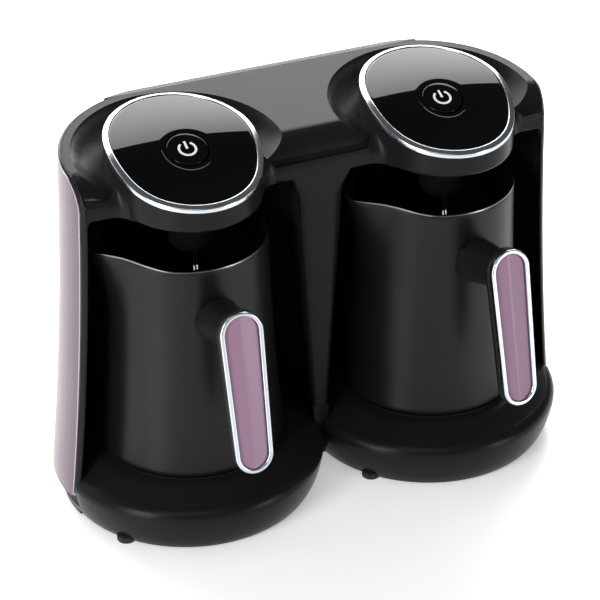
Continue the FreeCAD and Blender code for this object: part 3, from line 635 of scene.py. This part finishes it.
def guide_tips(name, height):
    """Dark rods whose frosted ends below a height are white and glow faintly: the glow is painted light
    for the light they catch.
    """
    finish = Finish(name)
    up = finish.node("ShaderNodeSeparateXYZ", output="Z", Vector=finish.place)
    tip = up < height
    grain = finish.noise(1500.0)
    # The tips' emission is a painted glow, not a lamp
    finish.set(Base_Color=finish.mix(tip, (0.01, 0.01, 0.011, 1), (0.8, 0.8, 0.8, 1)),
               Roughness=grain * 0.2 + 0.3, Emission_Strength=1.0,
               Emission_Color=finish.mix(tip, (0, 0, 0, 1), (0.4, 0.4, 0.4, 1)))
    return finish.material


MATERIALS = {}


def make_materials(look):
    """One material for each of the record's slots, and four for pieces that differ from their slot."""
    tips_below = 140.2 * MM
    MATERIALS.update({
        "black_plastic": grained_plastic("Black plastic", look.black),
        "lilac_plastic": lilac_plastic("Lilac plastic", look.lilac),
        "panel_lilac": lilac_plastic("Mauve panel", look.mauve, 0.34, 0.05),
        "chromed_plastic": bright_metal("Satin plating", look.chrome),
        "gloss_black": polished_panel("Gloss black", look.gloss),
        "smoked_plastic": plain_finish("Smoked plastic", (0.006, 0.006, 0.007), 0.14, spread=0.05),
        "clear_guide": guide_tips("Light guide", tips_below),
        "coated_aluminium": coated_metal("Pot coating", look.coating),
        "heater_aluminium": plain_finish("Heater plate", (0.55, 0.55, 0.56), 0.5, 1.0),
        "screw_steel": plain_finish("Screw steel", (0.5, 0.5, 0.51), 0.35, 1.0),
        "contact_brass": plain_finish("Contact brass", (0.72, 0.55, 0.25), 0.3, 1.0),
        "connector_plastic": plain_finish("Connector plastic", (0.03, 0.03, 0.03), 0.5),
        "circuit_board": plain_finish("Board", (0.015, 0.11, 0.05), 0.4),
        "board_part_plastic": plain_finish("Board parts", (0.03, 0.06, 0.2), 0.45),
        "silicone": plain_finish("Silicone", (0.45, 0.45, 0.46), 0.6),
        "rubber": plain_finish("Rubber", (0.012, 0.012, 0.012), 0.75, scale=900.0),
        # A lighter lilac strip: painted highlight along each side panel's front edge
        "edge_highlight_strip": plain_finish("Panel edge highlight", (0.42, 0.36, 0.41), 0.35),
        "rim": plain_finish("Worn rim edge", (0.25, 0.25, 0.255), 0.3, 1.0),
        # The print glows faintly through emission: painted light on the power symbol
        "symbol": plain_finish("Symbol print", look.symbol, 0.45, spread=0.04, emission=0.15),
    })


class FINISH_OT_cad_nodes(bpy.types.Operator):
    """Give every CAD node its material, and smooth the ones whose shape is kept"""
    bl_idname = "coffee.finish_nodes"
    bl_label = "Finish the moulded parts"

    def execute(self, context):
        make_materials(context.scene.coffee_finishes)
        slots = {part["node"]: part["material_slot"] for part in frame["record"]["subparts"]}
        for name, obj in frame["nodes"].items():
            obj.data.materials.clear()
            obj.data.materials.append(MATERIALS[slots[name]])
        bodies = {node: body for body, nodes in frame["record"]["behaviour"]["bodies"].items()
                  for node in nodes}
        shared = ["front_shell", "rear_cover", "base_tray", "rubber_feet", "cord_gland"]
        each = ["head_cover", "seat_plate", "sensor_guides", "handle_core", "pot_base",
                "base_connector", "sensor_hood"]
        for node in shared + [f"{side}_{piece}" for side in SIDES for piece in each]:
            shape = SHAPING.get(node.replace("left_", "").replace("right_", ""))
            angle = 14.0 if node == "front_shell" else 30.0
            obj = smoothed_node(node, "smooth_" + node, angle, shape)
            place_piece(obj, node, bodies[node], slots[node])
        self.side_panels(context.scene.coffee_housing, bodies, slots)
        return {"FINISHED"}

    def side_panels(self, h, bodies, slots):
        """Each side panel as a black strip in front, a lighter strip that paints the highlight of its
        front edge, and the mauve face behind it.
        """
        layers = (("panel_border", "black_plastic", None, 0.0),
                  ("edge_highlight_strip", "edge_highlight_strip", 0.0, 0.6),
                  ("panel_face", "panel_lilac", h.side_edge, 1.0))
        for side, out in (("left", -1), ("right", 1)):
            node = side + "_panel"
            for name, look, more, stand in layers:
                shape = self.layer_shape(h, out, more, stand)
                obj = smoothed_node(node, f"{side}_{name}", 30.0, shape)
                place_piece(obj, node, bodies[node], slots[node], look)

    def layer_shape(self, h, out, more, stand):
        """What one layer of a side panel needs: more trims its front, stand moves it outwards."""
        def shape(obj):
            if more is not None:
                set_back(obj, h, more)
            for vertex in obj.data.vertices:
                vertex.co.x += out * stand * h.side_stand
            draw_up(obj)
        return shape


def on_deck(obj, sizes, crown):
    """Seats a piece drawn flat on the head's curved top."""
    for vertex in obj.data.vertices:
        vertex.co.z += deck_height(sizes, vertex.co.x, vertex.co.y, crown)
    obj.data.update()
    return obj


def for_each_side(obj, name, node, body, slot, look=None, turn=False):
    """Copies a piece drawn about the origin to both units."""
    for side in SIDES:
        axis = UNIT_AXIS[side]
        copy = copied(obj, f"{side}_{name}")
        spin = Matrix.Rotation(POT_TURN[side] if turn else 0.0, 4, "Z")
        apply_place(copy, Matrix.Translation((axis.x, axis.y, 0)) @ spin)
        place_piece(copy, f"{side}_{node}" if node else None,
                    f"{side}_{body}" if body != "housing" else body, slot, look)
    bpy.data.objects.remove(obj)


class MODEL_OT_head_rings(bpy.types.Operator):
    """Model the bright ring round each head's panel"""
    bl_idname = "coffee.head_rings"
    bl_label = "Head rings"

    def execute(self, context):
        s = context.scene.coffee_head
        low, fall = -s.ring_height, -s.ring_bevel
        crest = -0.1 * MM
        inner = s.ring_width
        # From the outer foot up, over the slope to the rounded bead, and down the inner edge
        profile = [(0.0, low), (0.0, fall - 0.45 * MM), (0.08 * MM, fall - 0.2 * MM), (0.28 * MM, fall),
                   (inner - 0.95 * MM, crest - 0.2 * MM), (inner - 0.7 * MM, crest - 0.06 * MM),
                   (inner - 0.45 * MM, crest), (inner - 0.2 * MM, crest - 0.06 * MM),
                   (inner - 0.04 * MM, crest - 0.22 * MM), (inner, crest - 0.5 * MM), (inner, low)]
        ring = ovals("ring", round_the_head(s, profile), 192)
        finish_mesh(on_deck(ring, s, 0.0), 50)
        for_each_side(ring, "bright_ring", "head_ring", "housing", "chromed_plastic")
        return {"FINISHED"}


class MODEL_OT_head_skirts(bpy.types.Operator):
    """Model each head's smooth skirt and the hollow rounding beside it"""
    bl_idname = "coffee.head_skirts"
    bl_label = "Head skirts"

    def execute(self, context):
        s, h = context.scene.coffee_head, context.scene.coffee_housing
        r = s.skirt_round
        # Heights are from the lower edge. under_ring only marks what is set to the ring's underside below
        under_ring = 1.0
        profile = [(s.skirt_wall + r, 0.0)]
        profile += [(r * (1 - math.sin(turn)), r * (1 - math.cos(turn)))
                    for turn in (math.pi / 2 * step / 6 for step in range(7))]
        profile += [(0.0, r + 0.5 * MM), (0.0, under_ring), (s.skirt_wall, under_ring), (s.skirt_wall, r)]
        skirt = ovals("skirt", round_the_head(s, profile), 192)
        for vertex in skirt.data.vertices:
            if vertex.co.z > under_ring / 2:
                vertex.co.z = deck_height(s, vertex.co.x, vertex.co.y, 0.0) - s.ring_height
            else:
                vertex.co.z += s.skirt_bottom
        skirt.data.update()
        finish_mesh(skirt, 50)
        for_each_side(skirt, "head_skirt", "head_shell", "housing", "black_plastic")
        for name, way in (("neck_left", -1), ("neck_right", 1)):
            for_each_side(self.neck(s, h, way), name, None, "housing", "black_plastic")
        return {"FINISHED"}

    def neck(self, s, h, way):
        """A hollow strip between the skirt and the housing's front, drawn as a sheet and thickened."""
        least_radius, sunk, sheet = 0.3 * MM, 0.05 * MM, 0.6 * MM
        deselect()
        bpy.ops.mesh.primitive_grid_add(x_subdivisions=16, y_subdivisions=28, size=1.0,
                                        location=(0, 0, 0))
        strip = bpy.context.object
        low = s.skirt_bottom + 0.5 * MM
        high = h.front_top + h.front_roll * 0.7
        centre_y = h.front_y + h.front_roll
        for vertex in strip.data.vertices:
            across, up = vertex.co.x + 0.5, vertex.co.y + 0.5
            z = low + (high - low) * up
            rise = max(z - h.front_top, 0.0)
            face_y = centre_y - math.sqrt(h.front_roll ** 2 - rise ** 2)
            radius = s.neck_radius * (1 - up ** 3) + least_radius
            start = Vector((self.wall_x(s, face_y) + radius, face_y + sunk))
            corner = Vector((self.wall_x(s, face_y), face_y))
            end = Vector((self.wall_x(s, face_y - radius) - sunk, face_y - radius))
            place = start * (1 - across) ** 2 + corner * 2 * across * (1 - across) + end * across ** 2
            vertex.co = (way * place.x, place.y, z)
        strip.data.update()
        modifier(strip, "SOLIDIFY", thickness=sheet, offset=float(way))
        return finish_mesh(strip, 60)

    def wall_x(self, s, y):
        """Half the oval head's width at a place along it."""
        return s.half_width * math.sqrt(1 - ((y - s.centre_y) / s.half_length) ** 2)


class MODEL_OT_head_panels(bpy.types.Operator):
    """Model each head's glossy panel with its dished collar"""
    bl_idname = "coffee.head_panels"
    bl_label = "Glossy panels"

    def execute(self, context):
        s = context.scene.coffee_head
        ring_gap, edge, lip = 0.15 * MM, 0.25 * MM, 0.45 * MM
        inset = s.ring_width + ring_gap
        outer = (s.half_width - inset, s.half_length - inset, s.centre_y)
        inner = (s.collar_radius, s.collar_radius, s.button_y)
        hole = s.button_radius + s.button_gap
        rows = 22
        # Up the outer edge, inwards over the crown, down the collar's lip and dish, and down the hole
        sections = [(*outer, -s.panel_thickness), (*outer, -edge)]
        for row in range(rows + 1):
            share = row / rows
            wide, long, y = (a + (b - a) * share for a, b in zip(outer, inner))
            draw_in = edge if row == 0 else 0.0
            sections.append((wide - draw_in, long - draw_in, y, 0.0))
        for share, fall in ((0.3, 0.2), (0.7, 0.8), (1.0, 1.0)):
            radius = s.collar_radius - lip * share
            sections.append((radius, radius, s.button_y, -s.collar_lip * fall))
        for row in range(1, 5):
            share = row / 4
            radius = s.collar_radius - lip - (s.collar_radius - lip - hole) * share
            drop = s.collar_lip + (s.collar_depth - s.collar_lip) * share
            sections.append((radius, radius, s.button_y, -drop))
        sections.append((hole, hole, s.button_y, -s.panel_thickness))
        panel = ovals("panel", sections, 144)
        on_deck(panel, s, s.crown)
        for vertex in panel.data.vertices:
            ahead = max(s.deck_step_y - (vertex.co.y - s.centre_y), 0.0)
            vertex.co.z -= s.panel_dip * (ahead / (s.half_length + s.deck_step_y)) ** 2
        apply_place(panel, Matrix.Translation((0, 0, -s.panel_drop)))
        finish_mesh(panel, 50)
        for_each_side(panel, "gloss_panel", "head_glass", "housing", "gloss_black")
        return {"FINISHED"}


class MODEL_OT_buttons(bpy.types.Operator):
    """Model the power buttons with their symbol"""
    bl_idname = "coffee.buttons"
    bl_label = "Power buttons"

    def execute(self, context):
        s = context.scene.coffee_head
        radius = s.button_radius
        rim, eye = 0.45 * MM, 0.4 * MM
        profile = [(eye, -s.button_thickness), (radius, -s.button_thickness), (radius, -rim),
                   (radius - rim * 0.13, -rim * 0.5), (radius - rim * 0.5, -rim * 0.13),
                   (radius - rim, 0.0), (radius * 0.7, 0.0), (radius * 0.35, 0.0), (eye, 0.0)]
        cap = ovals("cap", turned(profile), 96)
        finish_mesh(self.tilted(cap, s), 45)
        for_each_side(cap, "button_cap", "power_button", "button", "gloss_black")
        for_each_side(self.symbol(s), "power_symbol", None, "button", "clear_guide", "symbol")
        return {"FINISHED"}

    def tilted(self, obj, s):
        """Lays a piece drawn flat on the button's flat top, square to the panel there."""
        step = 0.5 * MM
        ahead = deck_height(s, 0, s.button_y - step, s.crown)
        behind = deck_height(s, 0, s.button_y + step, s.crown)
        turn = Matrix.Rotation(math.atan2(behind - ahead, 2 * step), 4, "X")
        height = (ahead + behind) / 2 - s.panel_drop - s.button_drop
        return apply_place(obj, Matrix.Translation((0, s.button_y, height)) @ turn)

    def symbol(self, s):
        """An open ring with an upright bar, standing a hair proud of the cap."""
        radius, line, proud = s.symbol_radius, s.symbol_line, 0.12 * MM
        half_gap = math.radians(36)
        deselect()
        bpy.ops.mesh.primitive_plane_add(size=1.0, location=(0, 0, 0))
        ring = bpy.context.object
        edit(ring)
        bpy.ops.transform.resize(value=(line, proud, 1))
        done()
        apply_place(ring, Matrix.Rotation(math.pi / 2 + half_gap, 4, "Z") @
                    Matrix.Translation((radius, 0, 0)) @ Matrix.Rotation(math.pi / 2, 4, "X"))
        edit(ring)
        bpy.ops.mesh.spin(steps=56, angle=2 * half_gap - 2 * math.pi, center=(0, 0, 0), axis=(0, 0, 1))
        done()
        deselect()
        middle = (0, radius * 0.6, 0)
        bpy.ops.mesh.primitive_cube_add(size=1.0, location=middle)
        bar = bpy.context.object
        edit(bar)
        bpy.ops.transform.resize(value=(line, radius * 1.2, proud), center_override=middle)
        done()
        make_active(ring)
        bar.select_set(True)
        bpy.ops.object.join()
        apply_place(ring, Matrix.Translation((0, 0, proud * 0.3)))
        return finish_mesh(self.tilted(ring, s), 40)


def grip_outline(s, inset, name):
    """The grip's front outline as one face: a circle whose lower half is drawn down and narrowed."""
    deselect()
    bpy.ops.mesh.primitive_circle_add(vertices=96, radius=s.top_width / 2, fill_type="NGON",
                                      location=(0, 0, 0))
    obj = bpy.context.object
    obj.name = name
    apply_place(obj, Matrix.Translation((0, 0, -s.top_width / 2)) @ Matrix.Rotation(math.pi / 2, 4, "X"))
    low_centre = -s.length + s.low_width / 2
    shrink = s.low_width / s.top_width
    top_centre = -s.top_width / 2
    for vertex in obj.data.vertices:
        if vertex.co.z < top_centre - 1e-5:
            vertex.co.x *= shrink
            vertex.co.z = low_centre + (vertex.co.z - top_centre) * shrink
    obj.data.update()
    if inset:
        edit(obj, "FACE")
        bpy.ops.mesh.inset(thickness=inset, depth=0)
        bpy.ops.mesh.select_all(action="INVERT")
        bpy.ops.mesh.delete(type="FACE")
        done()
    return obj


def lean_grip(obj, s):
    """Hangs a piece drawn upright at the grip's top and leans it out."""
    top = Matrix.Translation((0, s.top_y, s.top_height))
    return apply_place(obj, top @ Matrix.Rotation(-s.tilt, 4, "X"))


class MODEL_OT_grips(bpy.types.Operator):
    """Model the handles' bright frames and lilac inlays"""
    bl_idname = "coffee.grips"
    bl_label = "Handle frames and inlays"

    def execute(self, context):
        s = context.scene.coffee_handle
        rim = grip_outline(s, 0, "frame")
        edit(rim, "FACE")
        bpy.ops.mesh.inset(thickness=s.frame_width, depth=0)
        bpy.ops.mesh.delete(type="FACE")
        bpy.ops.mesh.select_all(action="SELECT")
        bpy.ops.mesh.extrude_region_move(TRANSFORM_OT_translate={"value": (0, s.frame_depth, 0)})
        done()
        finish_mesh(rim)
        round_edges(rim, 0.75 * MM, 4)
        finish_mesh(lean_grip(rim, s), 50)
        for_each_side(rim, "grip_frame", "handle_frame", "pot", "chromed_plastic", turn=True)

        frame_gap, ridge_cut, ridge_flat = 0.1 * MM, 0.6 * MM, 0.3 * MM
        inlay = grip_outline(s, s.frame_width + frame_gap, "inlay")
        edit(inlay, "FACE")
        for x in (s.inlay_ridge_x - ridge_cut, s.inlay_ridge_x, s.inlay_ridge_x + ridge_cut):
            bpy.ops.mesh.select_all(action="SELECT")
            bpy.ops.mesh.bisect(plane_co=(x, 0, 0), plane_no=(1, 0, 0))
        done()
        half = s.top_width / 2
        for vertex in inlay.data.vertices:
            away = max(abs(vertex.co.x - s.inlay_ridge_x) - ridge_flat, 0.0)
            vertex.co.y = s.inlay_drop + s.inlay_ridge * away / half
        edit(inlay, "FACE")
        depth = s.inlay_thickness - s.inlay_ridge
        bpy.ops.mesh.extrude_region_move(TRANSFORM_OT_translate={"value": (0, depth, 0)})
        done()
        finish_mesh(inlay, 30)
        round_edges(inlay, 0.35 * MM, 3, 50)
        finish_mesh(lean_grip(inlay, s), 12)
        for_each_side(inlay, "grip_inlay", "handle_inlay", "pot", "lilac_plastic", turn=True)
        return {"FINISHED"}


def flare(z, low, middle, high):
    """Radius on the hollow curve through three (radius, height) points."""
    (r1, z1), (r2, z2), (r3, z3) = low, middle, high
    a = r1 * (z2 - z3) - z1 * (r2 - r3) + r2 * z3 - r3 * z2
    b = (r1 ** 2 + z1 ** 2) * (z3 - z2) + (r2 ** 2 + z2 ** 2) * (z1 - z3) + (r3 ** 2 + z3 ** 2) * (z2 - z1)
    c = (r1 ** 2 + z1 ** 2) * (r2 - r3) + (r2 ** 2 + z2 ** 2) * (r3 - r1) + (r3 ** 2 + z3 ** 2) * (r1 - r2)
    centre = (-b / (2 * a), -c / (2 * a))
    reach = math.hypot(r1 - centre[0], z1 - centre[1])
    return centre[0] - math.sqrt(reach ** 2 - (z - centre[1]) ** 2)


def soft_step(x, start, end):
    """Rises from 0 to 1 in two arcs that meet in the middle."""
    share = min(max((x - start) / (end - start), 0.0), 1.0)
    return 2 * share ** 2 if share < 0.5 else 1 - 2 * (1 - share) ** 2


class MODEL_OT_pots(bpy.types.Operator):
    """Model the pots' flared walls, rolled rims and spouts"""
    bl_idname = "coffee.pots"
    bl_label = "Pots"

    def execute(self, context):
        s = context.scene.coffee_pot
        points = ((s.bottom_radius, s.bottom_height), (s.middle_radius, s.middle_height),
                  (s.rim_radius, s.rim_height))
        levels, fillet = 44, 4 * MM
        wall = s.wall
        start = s.bottom_height
        foot = start + 0.4 * MM
        # Up the outside, over the rim, down the inside and in along the floor
        profile = [(s.bottom_radius - wall, start + 1.0 * MM), (s.bottom_radius - wall, start),
                   (s.bottom_radius - 0.3 * MM, start), (flare(foot, *points), foot)]
        for level in range(1, levels):
            z = start + (s.rim_height - 0.5 * MM - start) * level / (levels - 1)
            profile.append((flare(z, *points), z))
        top = s.rim_height
        profile += [(s.rim_radius - 0.25 * MM, top - 0.1 * MM), (s.rim_radius - wall / 2, top),
                    (s.rim_radius - wall + 0.25 * MM, top - 0.1 * MM)]
        for level in range(levels):
            z = top - 0.6 * MM - (top - 0.6 * MM - s.floor_height - fillet) * level / (levels - 1)
            profile.append((flare(z, *points) - wall, z))
        floor_radius = profile[-1][0]
        for step in range(1, 7):
            turn = step * math.pi / 12
            profile.append((floor_radius - fillet * (1 - math.cos(turn)),
                            s.floor_height + fillet * (1 - math.sin(turn))))
        eye = floor_radius * 0.2
        profile += [(floor_radius * 0.6, s.floor_height), (eye, s.floor_height)]
        pot = ovals("pot", turned(profile), 144, closed=False)
        # The ring in the middle of the floor is filled
        edit(pot, "EDGE")
        bpy.ops.mesh.select_all(action="DESELECT")
        done()
        for edge in pot.data.edges:
            ends = [pot.data.vertices[v].co for v in edge.vertices]
            edge.select = all(abs(end.z - s.floor_height) < 1e-6 and
                              abs(math.hypot(end.x, end.y) - eye) < 1e-5 for end in ends)
        bpy.ops.object.mode_set(mode="EDIT")
        bpy.ops.mesh.edge_face_add()
        done()
        self.pull_spout(pot, s)
        finish_mesh(pot, 60)
        for_each_side(pot, "coffee_pot", "pot_body", "pot", "coated_aluminium", turn=True)

        # The bare line along the rim's outer edge
        out = s.rim_radius
        bead = [(out - 0.75 * MM, top - 0.1 * MM), (out - 0.3 * MM, top - 0.2 * MM),
                (out - 0.02 * MM, top - 0.6 * MM), (out + 0.03 * MM, top - 0.55 * MM),
                (out - 0.15 * MM, top + 0.02 * MM), (out - 0.7 * MM, top + 0.05 * MM)]
        line = ovals("line", turned(bead), 144)
        self.pull_spout(line, s)
        finish_mesh(line, 60)
        for_each_side(line, "rim_edge", None, "pot", "coated_aluminium", "rim", turn=True)
        return {"FINISHED"}

    def pull_spout(self, pot, s):
        """Draws the wall out to the left into the spout and lifts the rim there."""
        lift_start, lift_end = 17 * MM, 41 * MM
        for vertex in pot.data.vertices:
            x, y, z = vertex.co
            radius = math.hypot(x, y)
            if radius < 1e-6 or z <= s.spout_root:
                continue
            rise = (z - s.spout_root) / (s.rim_height + s.spout_rise - s.spout_root)
            away = math.pi - abs(math.atan2(y, x))
            bulge = (s.spout_reach - s.rim_radius) * rise ** 2.2 * math.exp(-(away / s.spout_spread) ** 2)
            wider = (radius + bulge) / radius
            vertex.co.x, vertex.co.y = x * wider, y * wider
            lift = s.spout_rise * soft_step(-vertex.co.x, lift_start, lift_end)
            vertex.co.z += lift * rise ** 3
        pot.data.update()


def softbox(name, azimuth, elevation, distance, width, height, brightness, glossy=True):
    """A rectangular light facing the part; azimuth runs from the rear to the right, in degrees."""
    turn, rise = math.radians(azimuth), math.radians(elevation)
    away = Vector((math.sin(turn) * math.cos(rise), math.cos(turn) * math.cos(rise), math.sin(rise)))
    part_middle = Vector((0, 0, 0.1))
    deselect()
    bpy.ops.object.light_add(type="AREA", location=away * distance + part_middle)
    light = bpy.context.object
    light.name = name
    light.data.shape = "RECTANGLE"
    light.data.size = width
    light.data.size_y = height
    light.data.energy = brightness * math.pi * width * height
    light.visible_glossy = glossy
    light.rotation_mode = "QUATERNION"
    light.rotation_quaternion = (-away).to_track_quat("-Z", "Y")


class STAGE_OT_studio(bpy.types.Operator):
    """Set up the pale floor, the soft lights and the camera"""
    bl_idname = "coffee.studio"
    bl_label = "Studio"

    def execute(self, context):
        look = context.scene.coffee_studio
        deselect()
        bpy.ops.object.camera_add(location=CAMERA_PLACE)
        camera = bpy.context.object
        camera.name = "Camera"
        camera.rotation_mode = "QUATERNION"
        camera.rotation_quaternion = Vector(CAMERA_AIM).to_track_quat("-Z", "Y")
        camera.data.lens = look.lens
        camera.data.sensor_width = 36.0
        context.scene.camera = camera

        floor_width = 12.0
        deselect()
        bpy.ops.mesh.primitive_plane_add(size=floor_width, location=(0, 0, 0))
        floor = bpy.context.object
        floor.name = "floor"
        finish = Finish("Pale floor")
        cloud = finish.noise(3.0, 2.0)
        finish.set(Base_Color=finish.mix(cloud, (0.86, 0.86, 0.86, 1), (0.88, 0.88, 0.88, 1)),
                   Roughness=cloud * 0.05 + 0.25, Emission_Color=(1, 1, 1, 1),
                   Emission_Strength=look.floor_glow)
        floor.data.materials.append(finish.material)

        world = bpy.data.worlds.new("Studio")
        context.scene.world = world
        world.use_nodes = True
        background = world.node_tree.nodes["Background"]
        background.inputs["Color"].default_value = (1, 1, 1, 1)
        background.inputs["Strength"].default_value = look.world
        # Azimuth and elevation in degrees, then distance, width and height in metres
        softbox("Rear softbox", 11, 28, 2.4, 3.5, 2.55, look.rear)
        softbox("Rim softbox", -62, 24, 2.2, 1.2, 1.4, look.rim)
        softbox("Left softbox", -118, 20, 2.0, 0.7, 1.4, look.left)
        softbox("Front softbox", -150, 57, 2.2, 1.2, 0.7, look.front)
        softbox("Right softbox", 141, 6, 2.2, 0.6, 0.8, look.right)
        softbox("Top fill", 0, 90, 2.4, 3.0, 3.0, look.top, glossy=False)
        context.scene.view_settings.view_transform = "Standard"
        return {"FINISHED"}


class COFFEE_PT_pieces(bpy.types.Panel):
    """Lists the steps that make the coffee maker"""
    bl_idname = "COFFEE_PT_pieces"
    bl_label = "Coffee maker"
    bl_space_type = "VIEW_3D"
    bl_region_type = "UI"
    bl_category = "Coffee maker"

    def draw(self, context):
        for step in STEPS:
            self.layout.operator(step.bl_idname)
        for group in GROUPS:
            box = self.layout.box()
            settings = getattr(context.scene, group)
            for name in settings.bl_rna.properties.keys():
                if name not in ("rna_type", "name"):
                    box.prop(settings, name)


STEPS = (FINISH_OT_cad_nodes, MODEL_OT_head_rings, MODEL_OT_head_skirts, MODEL_OT_head_panels,
         MODEL_OT_buttons, MODEL_OT_grips, MODEL_OT_pots, STAGE_OT_studio)
GROUPS = {"coffee_head": HeadSizes, "coffee_housing": HousingSizes, "coffee_handle": HandleSizes,
          "coffee_pot": PotSizes, "coffee_finishes": Finishes, "coffee_studio": StudioSettings}


def register():
    for group in GROUPS.values():
        bpy.utils.register_class(group)
    for name, group in GROUPS.items():
        setattr(bpy.types.Scene, name, PointerProperty(type=group))
    for step in STEPS:
        bpy.utils.register_class(step)
    bpy.utils.register_class(COFFEE_PT_pieces)


def unregister():
    bpy.utils.unregister_class(COFFEE_PT_pieces)
    for step in reversed(STEPS):
        bpy.utils.unregister_class(step)
    for name in GROUPS:
        delattr(bpy.types.Scene, name)
    for group in GROUPS.values():
        bpy.utils.unregister_class(group)


def main():
    register()
    for step in STEPS:
        category, name = step.bl_idname.split(".")
        getattr(getattr(bpy.ops, category), name)()


if __name__ == "__main__":
    main()
